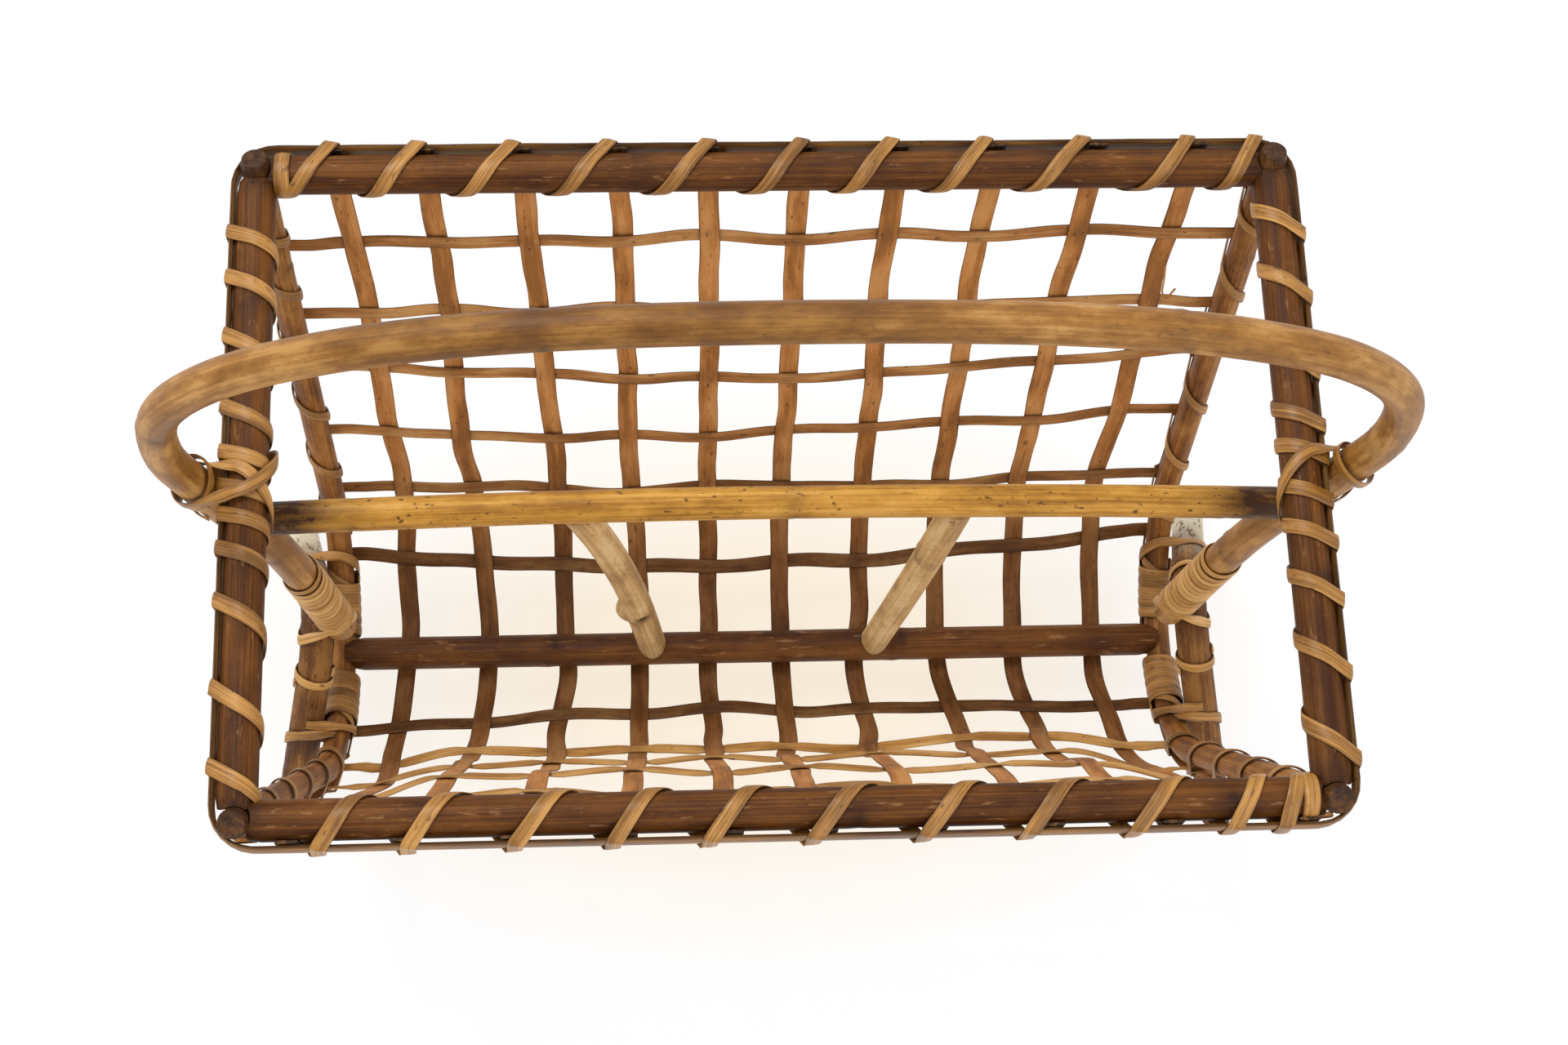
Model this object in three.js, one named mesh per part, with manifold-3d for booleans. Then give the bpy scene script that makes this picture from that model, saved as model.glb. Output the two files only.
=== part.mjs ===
// Magazine basket: an open trough woven from split cane and hung in two U shaped end frames,
// with a rattan hoop for a handle, a splayed leg hoop at each end and a divider on two struts.
// Millimetres, +Z up. The floor is Z = 0 and the origin lies under the middle of the basket.
// X runs along the basket, Y across it, and the front is at negative Y.

import * as THREE from 'three';
import { mergeVertices } from 'three/addons/utils/BufferGeometryUtils.js';
import Module from 'manifold-3d';

const wasm = await Module();
wasm.setup();

// Driving dimensions: the rim and the end frames
const rimHeight = 272.5;
const rimHalfWidth = 198;
const rimHalfDepth = 126.5;
const troughBottomHeight = 29.5;
const frameTaper = 8;
const frameBendRadius = 68;
const frameDiameter = 11.4;
const postRise = 9;
const railDiameter = 15.4;
const rimStripThickness = 1.8;
const rimStripHeight = 9;

// Driving dimensions: the weave
const warpCount = 10;
const warpWidth = 8.4;
const warpThickness = 1.2;
const warpEndInset = 17.5;
const warpGatherShare = 0.12;
const weftCount = 13;
const weftWidth = 6.8;
const weftThickness = 1;
const topWeftDrop = 49;
const crossingMargin = 1.2;
const warpReturnShare = 1.4;
const endStripStopShare = 1.6;
const endStripWidth = 7;
const endStripThickness = 1.2;

// Driving dimensions: the bottom bar, the divider and its struts
const bottomBarDiameter = 15.2;
const dividerDiameter = 13.1;
const dividerDrop = 41;
const dividerBow = 11;
const strutDiameter = 13;
const leftStrutTop = -79;
const leftStrutFoot = -47;
const rightStrutTop = 72;
const rightStrutFoot = 54.5;
const leftStrutCrook = 2.5;
const strutShares = [0, 0.3, 0.62, 0.8, 1];

// Driving dimensions: the handle hoop, its heights taken from the rim
const handleDiameter = 14.4;
const handleSwell = 24.5;
const handleRise = 151;
const handleShoulderRise = 36;
const handleWaistDrop = 76;
const handleArchPower = 2.5;
const archShares = [0, 0.18, 0.38, 0.58, 0.78, 1];
const handleSeatAngle = 46;

// Driving dimensions: the leg hoops
const legDiameter = 15.2;
const legCrownRise = 45.5;
const legBendRadius = 26;
const footSpread = 18.5;
const footHalfDepth = 76;

// Driving dimensions: the bindings of flat cane
const caneThickness = 0.8;
const railCaneWidth = 6;
const frameCaneWidth = 4.8;
const crownCaneWidth = 5.4;
const crownCanePitch = 6.2;
const crownCaneTurns = 11;
const lashingCaneWidth = 4;
const lashingPitch = 6.5;
const legLashingPitch = 11;
const lashingTurns = 1.5;
const frameCaneTurns = 6;

// What touches on the real basket lies this far apart here
const clearance = 0.3;
const cutOverrun = 20;

// Facets: sides round a pole, steps along a bend, steps round one turn of cane
const poleSides = 12;
const railSides = 20;
const bendSteps = 20;
const handleSteps = 50;
const turnSteps = 10;
const frameTurnSteps = 12;
const handleTurnSteps = 8;
const lashingTurnSteps = 12;
const dividerSteps = 10;

// Worked out from the driving dimensions
const frameRadius = frameDiameter / 2;
const railRadius = railDiameter / 2;
const bottomBarRadius = bottomBarDiameter / 2;
const dividerRadius = dividerDiameter / 2;
const strutRadius = strutDiameter / 2;
const handleRadius = handleDiameter / 2;
const legRadius = legDiameter / 2;
const troughDepth = rimHeight - troughBottomHeight;
const frameLean = frameTaper / troughDepth;
const warpHalfSpan = rimHalfWidth - warpEndInset;
const warpPitch = 2 * warpHalfSpan / (warpCount - 1);
const caneLayer = clearance + caneThickness;
const weaveWave = (warpThickness + weftThickness) / 4 + clearance / 2;
const weftEndOffset = frameRadius + clearance + weftThickness / 2;
const weaveOffset = weftEndOffset + weaveWave;
const endStripOffset = weftEndOffset + weftThickness / 2 + clearance + endStripThickness / 2;
const bottomBarHeight = rimHeight - troughDepth - weaveOffset + weaveWave + warpThickness / 2
  + clearance + bottomBarRadius;
const dividerHeight = rimHeight - dividerDrop;
const sideStripReach = railRadius + clearance + rimStripThickness;
const frontStripReach = railRadius + 2 * clearance + warpThickness + rimStripThickness;
const handleHalfWidth = rimHalfWidth + handleSwell;
const handleWaistHalfWidth = rimHalfWidth;
const legCrownHeight = troughBottomHeight + legCrownRise;
const footHalfWidth = rimHalfWidth + footSpread;
const handleRimHalfWidth = rimHalfWidth + sideStripReach + caneLayer + clearance + handleRadius;

// Finishes
const darkRattan = { color: 0x5e3b26, roughness: 0.45 };
const framePole = { color: 0x8a5e33, roughness: 0.5 };
const honeyRattan = { color: 0xb9854a, roughness: 0.45 };
const legRattan = { color: 0xa87840, roughness: 0.5 };
const greyRattan = { color: 0xa38660, roughness: 0.65 };
const warpCane = { color: 0x7a4e2c, roughness: 0.55 };
const weftCane = { color: 0x6b4629, roughness: 0.55 };
const goldenCane = { color: 0xb07e40, roughness: 0.5 };
const paleCane = { color: 0xc09a62, roughness: 0.5 };

const basket = new THREE.Group();
const vector = (x, y, z) => new THREE.Vector3(x, y, z);
const acrossX = vector(1, 0, 0);

function add(name, geometry, finish) {
  const mesh = new THREE.Mesh(geometry, new THREE.MeshStandardMaterial({ metalness: 0, ...finish }));
  mesh.name = name;
  basket.add(mesh);
}

// Solids for cuts and joins
function toSolid(geometry) {
  const bare = geometry.clone();
  bare.deleteAttribute('normal');
  bare.deleteAttribute('uv');
  const merged = mergeVertices(bare);
  return new wasm.Manifold(new wasm.Mesh({
    numProp: 3,
    vertProperties: new Float32Array(merged.attributes.position.array),
    triVerts: new Uint32Array(merged.index.array),
  }));
}

function toGeometry(solid) {
  const mesh = solid.getMesh();
  const geometry = new THREE.BufferGeometry();
  geometry.setAttribute('position', new THREE.BufferAttribute(new Float32Array(mesh.vertProperties), 3));
  geometry.setIndex([...mesh.triVerts]);
  geometry.computeVertexNormals();
  return geometry;
}

const cut = (geometry, ...tools) => toGeometry(tools.reduce((solid, tool) => solid.subtract(toSolid(tool)),
  toSolid(geometry)));

// A route through chosen points, so that a pole has a ring of vertices just where its bends need one
class Route extends THREE.Curve {
  constructor(knots) {
    super();
    this.knots = knots;
  }

  getPointAt(u, target = new THREE.Vector3()) {
    return target.copy(this.knots[Math.round(u * (this.knots.length - 1))]);
  }

  getTangentAt(u, target = new THREE.Vector3()) {
    const last = this.knots.length - 1;
    const index = Math.round(u * last);
    const before = target.clone().set(0, 0, 0);
    const after = before.clone();
    if (index > 0) before.subVectors(this.knots[index], this.knots[index - 1]).normalize();
    if (index < last) after.subVectors(this.knots[index + 1], this.knots[index]).normalize();
    return target.addVectors(before, after).normalize();
  }
}

function circleShape(radius, sides) {
  const points = Array.from({ length: sides }, (_, index) => {
    const angle = 2 * Math.PI * index / sides;
    return new THREE.Vector2(radius * Math.cos(angle), radius * Math.sin(angle));
  });
  return new THREE.Shape(points);
}

function pole(knots, radius, sides = poleSides) {
  return new THREE.ExtrudeGeometry(circleShape(radius, sides), {
    steps: knots.length - 1,
    bevelEnabled: false,
    extrudePath: new Route(knots),
  });
}

// A hoop seen from its side: two straight arms that run tangent into a round bend.
// Heights are taken from the arms' ends, s is the length along it from the middle of the bend,
// and offset moves the point outwards.
function hoopOutline(halfWidth, height, bendRadius) {
  const centreHeight = height - bendRadius;
  const reach = Math.hypot(halfWidth, centreHeight);
  const tilt = Math.atan2(centreHeight, halfWidth) - Math.acos(bendRadius / reach);
  const sweep = tilt + Math.PI / 2;
  const armLength = Math.sqrt(reach * reach - bendRadius * bendRadius);
  return {
    sweep,
    armLength,
    bendLength: (offset = 0) => (bendRadius + offset) * sweep,
    length: (offset = 0) => (bendRadius + offset) * sweep + armLength,
    at(s, offset = 0) {
      const side = s < 0 ? -1 : 1;
      const bend = (bendRadius + offset) * sweep;
      const turned = Math.min(Math.abs(s) / (bendRadius + offset), sweep);
      const along = Math.max(Math.abs(s) - bend, 0);
      const normal = { y: side * Math.sin(turned), z: -Math.cos(turned) };
      const tangent = { y: Math.cos(turned), z: side * Math.sin(turned) };
      return {
        y: normal.y * (bendRadius + offset) + side * tangent.y * along,
        z: normal.z * (bendRadius + offset) - centreHeight + side * tangent.z * along,
        normal,
        tangent,
      };
    },
  };
}

const trough = hoopOutline(rimHalfDepth, troughDepth, frameBendRadius);
const weftPitch = 2 * (trough.length(weaveOffset) - topWeftDrop) / (weftCount - 1);
const frameX = (z) => rimHalfWidth - frameLean * (rimHeight - z);
const troughPoint = (s, offset) => {
  const point = trough.at(s, offset);
  return { ...point, z: point.z + rimHeight };
};

// The stations along half a hoop: round the bend, then to the end of the arm
function hoopStations(outline, offset, armEnd, steps = bendSteps) {
  const bend = outline.bendLength(offset);
  const half = Array.from({ length: steps / 2 }, (_, index) => 2 * bend * (index + 1) / steps);
  const upper = [...half, armEnd];
  return [...upper.map((s) => -s).reverse(), 0, ...upper];
}

// End frames: each is one pole bent to a U, its two upper ends the corner posts
const postEnd = trough.length() + postRise / Math.sin(trough.sweep);
function frameKnots(side, armEnd = postEnd) {
  return hoopStations(trough, 0, armEnd).map((s) => {
    const { y, z } = troughPoint(s, 0);
    return vector(side * frameX(z), y, z);
  });
}

// Flat strips: a band of even thickness along points in a plane, given its width across that plane
function stripShape(points, thickness) {
  const half = thickness / 2;
  const outer = points.map(({ u, v, nu, nv }) => new THREE.Vector2(u + nu * half, v + nv * half));
  const inner = points.map(({ u, v, nu, nv }) => new THREE.Vector2(u - nu * half, v - nv * half));
  return new THREE.Shape([...outer, ...inner.reverse()]);
}

function strip(points, thickness, width, basis) {
  const geometry = new THREE.ExtrudeGeometry(stripShape(points, thickness), {
    depth: width,
    bevelEnabled: false,
  });
  geometry.translate(0, 0, -width / 2);
  return geometry.applyMatrix4(basis);
}

function shiftX(geometry, shift) {
  const position = geometry.attributes.position;
  for (let index = 0; index < position.count; index += 1) {
    position.setX(index, position.getX(index) + shift(position.getZ(index)));
  }
  return geometry;
}

const endPlane = new THREE.Matrix4().makeBasis(vector(0, 1, 0), vector(0, 0, 1), acrossX);
const section = ({ y, z, normal }, move = 0) => ({
  u: y + normal.y * move,
  v: z + normal.z * move,
  nu: normal.y,
  nv: normal.z,
});

// Warps: strips from rim to rim under the bottom bar, over and under the wefts in turn
const warpX = (index) => -warpHalfSpan + warpPitch * index;
const gather = (z) => -warpGatherShare * (rimHeight - z) / troughDepth;
const weftStation = (index) => (index - (weftCount - 1) / 2) * weftPitch;
const overUnder = (warp, weft) => ((warp + weft) % 2 ? 1 : -1);
const warpRimY = rimHalfDepth + railRadius + clearance + warpThickness / 2;

function warpEnd(side) {
  const bend = { y: side * warpRimY, z: rimHeight - railRadius / 2, normal: { y: side, z: 0 } };
  const top = { ...bend, z: rimHeight + rimStripHeight / 2 };
  const bendStart = trough.length(weaveOffset) - warpReturnShare * railRadius;
  const below = troughPoint(side * bendStart, weaveOffset);
  return [below, bend, top].map((point) => section(point));
}

function warpPoints(warp) {
  const half = weftWidth / 2 + crossingMargin;
  const points = [];
  for (let weft = 0; weft < weftCount; weft += 1) {
    const s = weftStation(weft);
    const crossing = troughPoint(s, weaveOffset);
    const wave = weaveWave * overUnder(warp, weft);
    for (const step of [-half, half]) {
      const moved = {
        ...crossing,
        y: crossing.y + crossing.tangent.y * step,
        z: crossing.z + crossing.tangent.z * step,
      };
      points.push(section(moved, wave));
    }
    const next = s + weftPitch / 2;
    const inBend = Math.abs(next) < trough.bendLength(weaveOffset) + weftPitch / 2;
    if (inBend && weft < weftCount - 1) points.push(section(troughPoint(next, weaveOffset)));
  }
  return [...warpEnd(-1).reverse(), ...points, ...warpEnd(1)];
}

for (let warp = 0; warp < warpCount; warp += 1) {
  const geometry = strip(warpPoints(warp), warpThickness, warpWidth, endPlane);
  const place = warpX(warp);
  add(`warp_${warp + 1}`, shiftX(geometry, (z) => place * (1 + gather(z))), warpCane);
}

// Wefts: strips from end frame to end frame, each held between the pole and its end strip
function weftPoints(weft, z) {
  const half = warpWidth / 2 + crossingMargin;
  const endX = frameX(z) + endStripWidth / 2;
  const seatX = frameX(z) - frameRadius - crossingMargin;
  const points = [];
  const push = (x, offset) => points.push({ u: x, v: offset, nu: 0, nv: 1 });
  push(-endX, weftEndOffset);
  push(-seatX, weftEndOffset);
  for (let warp = 0; warp < warpCount; warp += 1) {
    const x = warpX(warp) * (1 + gather(z));
    const offset = weaveOffset - weaveWave * overUnder(warp, weft);
    push(x - half, offset);
    push(x + half, offset);
  }
  push(seatX, weftEndOffset);
  push(endX, weftEndOffset);
  return points;
}

for (let weft = 0; weft < weftCount; weft += 1) {
  const s = weftStation(weft);
  const origin = troughPoint(s * trough.bendLength() / trough.bendLength(weaveOffset), 0);
  const surface = troughPoint(s, weaveOffset);
  const normal = vector(0, surface.normal.y, surface.normal.z);
  const onAxis = vector(0, surface.y, surface.z).addScaledVector(normal, -weaveOffset);
  const basis = new THREE.Matrix4().makeBasis(acrossX, normal, acrossX.clone().cross(normal));
  basis.setPosition(onAxis);
  add(`weft_${weft + 1}`, strip(weftPoints(weft, origin.z), weftThickness, weftWidth, basis), weftCane);
}

for (const side of [-1, 1]) {
  const name = side < 0 ? 'left' : 'right';
  add(`end_frame_${name}`, pole(frameKnots(side), frameRadius), framePole);
  const stripTop = trough.length(endStripOffset) - endStripStopShare * railRadius;
  const points = hoopStations(trough, endStripOffset, stripTop)
    .map((s) => section(troughPoint(s, endStripOffset)));
  const endStrip = strip(points, endStripThickness, endStripWidth, endPlane);
  add(`end_strip_${name}`, shiftX(endStrip, (z) => side * frameX(z)), warpCane);
}

// Rim rails: the long ones are coped round the corner posts, the short ones butt against them
function rail(from, to) {
  return pole([from, to], railRadius, railSides);
}

const postTool = (side) => pole(frameKnots(side), frameRadius + clearance);
for (const [name, side] of [['front', -1], ['back', 1]]) {
  const end = vector(rimHalfWidth, side * rimHalfDepth, rimHeight);
  const whole = rail(end.clone().setX(-rimHalfWidth), end);
  add(`rail_${name}`, cut(whole, postTool(-1), postTool(1)), darkRattan);
}
for (const [name, side] of [['left', -1], ['right', 1]]) {
  const end = vector(side * rimHalfWidth, rimHalfDepth - railRadius - clearance, rimHeight);
  add(`rail_${name}`, cut(rail(end.clone().setY(-end.y), end), postTool(side)), darkRattan);
}

// Rim strip: a split cane hoop round the rails, which clamps the warps' ends
function roundedRectangle(Kind, halfX, halfY, radius) {
  const shape = new Kind();
  shape.moveTo(halfX, radius - halfY);
  shape.lineTo(halfX, halfY - radius);
  shape.absarc(halfX - radius, halfY - radius, radius, 0, Math.PI / 2);
  shape.lineTo(radius - halfX, halfY);
  shape.absarc(radius - halfX, halfY - radius, radius, Math.PI / 2, Math.PI);
  shape.lineTo(-halfX, radius - halfY);
  shape.absarc(radius - halfX, radius - halfY, radius, Math.PI, 1.5 * Math.PI);
  shape.lineTo(halfX - radius, -halfY);
  shape.absarc(halfX - radius, radius - halfY, radius, 1.5 * Math.PI, 2 * Math.PI);
  return shape;
}

const stripHalfX = rimHalfWidth + sideStripReach;
const stripHalfY = rimHalfDepth + frontStripReach;
const stripCorner = railRadius + clearance + rimStripThickness;
const rimOutline = roundedRectangle(THREE.Shape, stripHalfX, stripHalfY, stripCorner);
rimOutline.holes.push(roundedRectangle(THREE.Path, stripHalfX - rimStripThickness,
  stripHalfY - rimStripThickness, stripCorner - rimStripThickness));
const rimStrip = new THREE.ExtrudeGeometry(rimOutline, {
  depth: rimStripHeight,
  bevelEnabled: false,
  curveSegments: 5,
});
add('rim_strip', rimStrip.translate(0, 0, rimHeight - rimStripHeight / 2), goldenCane);

// Bottom bar: it lies on the warps and is coped to the two end frames
const barEnd = vector(frameX(bottomBarHeight) - frameRadius / 2, 0, bottomBarHeight);
const barRun = [barEnd.clone().setX(-barEnd.x), barEnd];
const bottomBar = pole(barRun, bottomBarRadius, railSides);
add('bottom_bar', cut(bottomBar, postTool(-1), postTool(1)), darkRattan);

// Leg hoops: each stands outside its end frame, and leans out to its feet
const legOutline = hoopOutline(footHalfDepth, legCrownHeight, legBendRadius);
const legPoint = (s) => {
  const { y, z } = legOutline.at(s);
  return { y, z: -z };
};

// Where leg and end frame cross, seen from the side
function findCrossing() {
  const beyond = (s) => {
    const { y, z } = legPoint(s);
    const centre = rimHeight - troughDepth + frameBendRadius;
    return Math.hypot(y, z - centre) - frameBendRadius;
  };
  let near = 0;
  let far = legOutline.length();
  for (let step = 0; step < 40; step += 1) {
    const middle = (near + far) / 2;
    if (beyond(middle) < 0) near = middle;
    else far = middle;
  }
  return { s: near, ...legPoint(near) };
}

const crossing = findCrossing();
const crossingX = frameX(crossing.z) + frameRadius + caneLayer + clearance + legRadius;
const legLean = (footHalfWidth - crossingX) / crossing.z;
const legX = (z) => footHalfWidth - legLean * z;
const legCrown = vector(legX(legCrownHeight), 0, legCrownHeight);

function legKnots(side, reach = 0) {
  return hoopStations(legOutline, 0, legOutline.length() + reach, bendSteps - 4).map((s) => {
    const { y, z } = legPoint(s);
    return vector(side * legX(z), y, z);
  });
}

const belowFloor = new THREE.BoxGeometry(2 * footHalfWidth + 4 * cutOverrun, 2 * footHalfDepth
  + 4 * cutOverrun, cutOverrun).translate(0, 0, -cutOverrun / 2);
for (const side of [-1, 1]) {
  const leg = pole(legKnots(side, legDiameter), legRadius);
  add(`leg_hoop_${side < 0 ? 'left' : 'right'}`, cut(leg, belowFloor), legRattan);
}

// Handle: one hoop from crown to crown, out round the side rails and over the basket
function handleHalf() {
  const seat = THREE.MathUtils.degToRad(handleSeatAngle);
  const reach = legRadius + clearance + handleRadius;
  const seatX = legCrown.x - reach * Math.cos(seat);
  const seatZ = legCrown.z + reach * Math.sin(seat);
  const waist = vector(handleWaistHalfWidth, 0, rimHeight - handleWaistDrop);
  const onSeat = vector(seatX, 0, seatZ);
  const down = onSeat.clone().sub(waist).normalize();
  const points = [onSeat.clone().addScaledVector(down, handleRadius), onSeat, waist];
  points.push(vector(handleRimHalfWidth, 0, rimHeight));
  const arch = handleRise - handleShoulderRise;
  for (const share of archShares) {
    const angle = share * Math.PI / 2;
    const x = handleHalfWidth * Math.cos(angle) ** (2 / handleArchPower);
    const z = handleShoulderRise + arch * Math.sin(angle) ** (2 / handleArchPower);
    points.push(vector(x, 0, rimHeight + z));
  }
  return points;
}

const mirrored = (points) => points.map((point) => vector(-point.x, point.y, point.z));
const handleRight = handleHalf();
const handleLeft = mirrored(handleRight).slice(0, -1);
const handleCurve = new THREE.CatmullRomCurve3([...handleLeft, ...[...handleRight].reverse()]);
const handleKnots = handleCurve.getSpacedPoints(handleSteps);
const handle = pole(handleKnots, handleRadius);
const legTool = (side) => pole(legKnots(side), legRadius + clearance);
add('handle', cut(handle, legTool(-1), legTool(1)), honeyRattan);

// Divider: a bowed bar between the handle's poles, under the side rails, on two struts
const dividerEnd = handleWaistHalfWidth + (handleRimHalfWidth - handleWaistHalfWidth)
  * (handleWaistDrop - dividerDrop) / handleWaistDrop;
const bowAt = (x) => dividerHeight + dividerBow * (1 - (x / dividerEnd) ** 2);
const dividerKnots = Array.from({ length: dividerSteps + 1 }, (_, index) => {
  const x = dividerEnd * (2 * index / dividerSteps - 1);
  return vector(x, 0, bowAt(x));
});
const handleTool = pole(handleKnots, handleRadius + clearance);
add('divider_bar', cut(pole(dividerKnots, dividerRadius), handleTool), honeyRattan);

const dividerTool = pole(dividerKnots, dividerRadius + clearance);
const bottomBarTool = pole(barRun, bottomBarRadius + clearance, railSides);
function strut(topX, footX, crook) {
  const top = vector(topX, 0, bowAt(topX));
  const foot = vector(footX, 0, bottomBarHeight);
  const knots = strutShares.map((share) => {
    const point = top.clone().lerp(foot, share);
    return point.setX(point.x + crook * Math.sin(2 * Math.PI * share));
  });
  return cut(pole(knots, strutRadius), dividerTool, bottomBarTool);
}
add('divider_strut_left', strut(leftStrutTop, leftStrutFoot, leftStrutCrook), greyRattan);
add('divider_strut_right', strut(rightStrutTop, rightStrutFoot, 0), greyRattan);

// Bindings of flat cane. A turn is a polygon round the hull of what it ties: each straight piece
// of cane lies on its own tangent plane of the hull, and the corners are where those planes meet.
// A place along a binding has an origin, an axis that the turns go round, and a normal and a
// binormal that span the plane of a turn. An outline lists [normal, binormal] points.

function windingPlanes({ outline, turns, steps, pitch, start, phase, lift, placeAt }) {
  const planes = [];
  for (let step = -1; step <= turns * steps; step += 1) {
    const facing = phase + 2 * Math.PI * step / steps;
    const distance = start + pitch * step / steps;
    const reaches = outline(distance).map(([n, b]) => n * Math.cos(facing) + b * Math.sin(facing));
    planes.push({ facing, reach: Math.max(...reaches) + lift });
  }
  return planes.map((plane, index) => {
    const next = planes[index + 1] ?? plane;
    const between = start + pitch * (index - 0.5) / steps;
    return { plane, next, place: placeAt(between) };
  }).slice(0, -1);
}

// Where two planes that face one step apart meet, with both moved out by a layer
function meeting({ plane, next }, layer) {
  const turn = next.facing - plane.facing;
  const near = plane.reach + layer;
  const across = (next.reach + layer - near * Math.cos(turn)) / Math.sin(turn);
  return [
    near * Math.cos(plane.facing) - across * Math.sin(plane.facing),
    near * Math.sin(plane.facing) + across * Math.cos(plane.facing),
  ];
}

const inSpace = ({ origin, normal, binormal }, [n, b]) => origin.clone()
  .addScaledVector(normal, n)
  .addScaledVector(binormal, b);

// The outline of something once it is bound: one turn's outer corners
function boundOutline(options) {
  return windingPlanes({ ...options, turns: 1, pitch: 0, start: 0, lift: clearance, placeAt: () => null })
    .map((joint) => meeting(joint, caneThickness));
}

// The four corners of the cane's section at each step
function caneCorners(options, width) {
  return windingPlanes(options).map((joint) => {
    const inner = inSpace(joint.place, meeting(joint, 0));
    const outer = inSpace(joint.place, meeting(joint, caneThickness));
    const half = joint.place.axis.clone().multiplyScalar(width / 2);
    return [
      outer.clone().add(half),
      outer.clone().sub(half),
      inner.clone().sub(half),
      inner.clone().add(half),
    ];
  });
}

// The least distance between parts of the cane that lie half a turn or more apart
function leastGap(corners, steps) {
  const parts = 4;
  const points = [];
  for (let index = 0; index < corners.length - 1; index += 1) {
    for (let part = 0; part < parts; part += 1) {
      for (let edge = 0; edge < 4; edge += 1) {
        points.push({
          at: corners[index][edge].clone().lerp(corners[index + 1][edge], part / parts),
          step: index + part / parts,
        });
      }
    }
  }
  let least = Infinity;
  for (const one of points) {
    for (const other of points) {
      if (other.step - one.step >= steps / 2) least = Math.min(least, one.at.distanceTo(other.at));
    }
  }
  return least;
}

function caneSolid(corners) {
  const geometry = new THREE.BufferGeometry();
  geometry.setAttribute('position', new THREE.Float32BufferAttribute(
    corners.flat().flatMap((point) => point.toArray()), 3));
  const last = 4 * (corners.length - 1);
  const faces = [0, 1, 2, 0, 2, 3, last, last + 2, last + 1, last, last + 3, last + 2];
  for (let index = 0; index < last; index += 4) {
    for (let edge = 0; edge < 4; edge += 1) {
      const a = index + edge;
      const b = index + (edge + 1) % 4;
      faces.push(a, b + 4, b, a, a + 4, b + 4);
    }
  }
  const [outer, otherSide, inner] = corners[0];
  const travel = corners[1][0].clone().sub(outer);
  const turnsOut = inner.clone().sub(otherSide).cross(outer.clone().sub(otherSide)).dot(travel) < 0;
  geometry.setIndex(turnsOut ? faces : faces.reverse());
  geometry.computeVertexNormals();
  return geometry;
}

function addWinding(name, options, width, finish) {
  const corners = caneCorners(options, width);
  add(name, caneSolid(corners), finish);
  console.log(`${name}: least gap to itself ${leastGap(corners, options.steps).toFixed(2)} mm`);
}

const ringPoints = (radius, count = 36) => Array.from({ length: count }, (_, index) => {
  const angle = 2 * Math.PI * index / count;
  return [radius * Math.cos(angle), radius * Math.sin(angle)];
});

// A straight run of winding, right handed or, with a hand of -1, left handed
const straight = (origin, axis, normal, hand = 1) => (distance) => ({
  origin: origin.clone().addScaledVector(axis, distance),
  axis,
  normal,
  binormal: axis.clone().cross(normal).multiplyScalar(hand),
});

// Rail bindings: on the long rails a turn goes down between each two warps. Seen from above, the
// cane works its way round the rim anticlockwise and passes over each rail from outside to inside.
const railOutline = (reach) => {
  const points = [...ringPoints(railRadius), [reach, rimStripHeight / 2], [reach, -rimStripHeight / 2]];
  return () => points;
};
const turnStep = 1 / turnSteps;
for (const [name, side] of [['front', -1], ['back', 1]]) {
  const origin = vector(side * warpHalfSpan, side * rimHalfDepth, rimHeight);
  addWinding(`rail_binding_${name}`, {
    outline: railOutline(frontStripReach),
    turns: warpCount - 0.5,
    steps: turnSteps,
    pitch: warpPitch,
    start: -warpPitch * (0.5 - 2 * turnStep),
    phase: 0,
    lift: clearance,
    placeAt: straight(origin, vector(-side, 0, 0), vector(0, side, 0), -1),
  }, railCaneWidth, goldenCane);
}

const sideTurns = 10;
const sidePitch = 2 * (rimHalfDepth - railDiameter) / sideTurns;
for (const [name, side] of [['left', -1], ['right', 1]]) {
  const origin = vector(side * rimHalfWidth, 0, rimHeight);
  addWinding(`rail_binding_${name}`, {
    outline: railOutline(sideStripReach),
    turns: sideTurns - 0.5,
    steps: turnSteps,
    pitch: sidePitch,
    start: -sidePitch * (sideTurns / 2 - turnStep),
    phase: -4 * turnStep * 2 * Math.PI,
    lift: clearance,
    placeAt: straight(origin, vector(0, -side, 0), vector(side, 0, 0), -1),
  }, railCaneWidth, goldenCane);
}

// Frame bindings: from the bottom bar up each half of a frame, one turn to a weft, which passes
// outside the weave midway between two wefts
const stripBack = endStripOffset + endStripThickness / 2;
const frameOutline = [...ringPoints(frameRadius), [stripBack, endStripWidth / 2],
  [stripBack, -endStripWidth / 2]];
const frameAlong = (side, way) => (distance) => {
  const s = way * distance;
  const { y, z, normal, tangent } = troughPoint(s, weaveOffset);
  return {
    origin: vector(side * frameX(z), y - weaveOffset * normal.y, z - weaveOffset * normal.z),
    axis: vector(0, way * tangent.y, way * tangent.z),
    normal: vector(0, normal.y, normal.z),
    binormal: vector(way, 0, 0),
  };
};
for (const [name, side] of [['left', -1], ['right', 1]]) {
  for (const [half, way] of [['front', -1], ['back', 1]]) {
    addWinding(`frame_binding_${half}_${name}`, {
      outline: () => frameOutline,
      turns: frameCaneTurns,
      steps: frameTurnSteps,
      pitch: weftPitch,
      start: weftPitch / 2,
      phase: 0,
      lift: clearance,
      placeAt: frameAlong(side, way),
    }, frameCaneWidth, framePole);
  }
}

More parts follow.
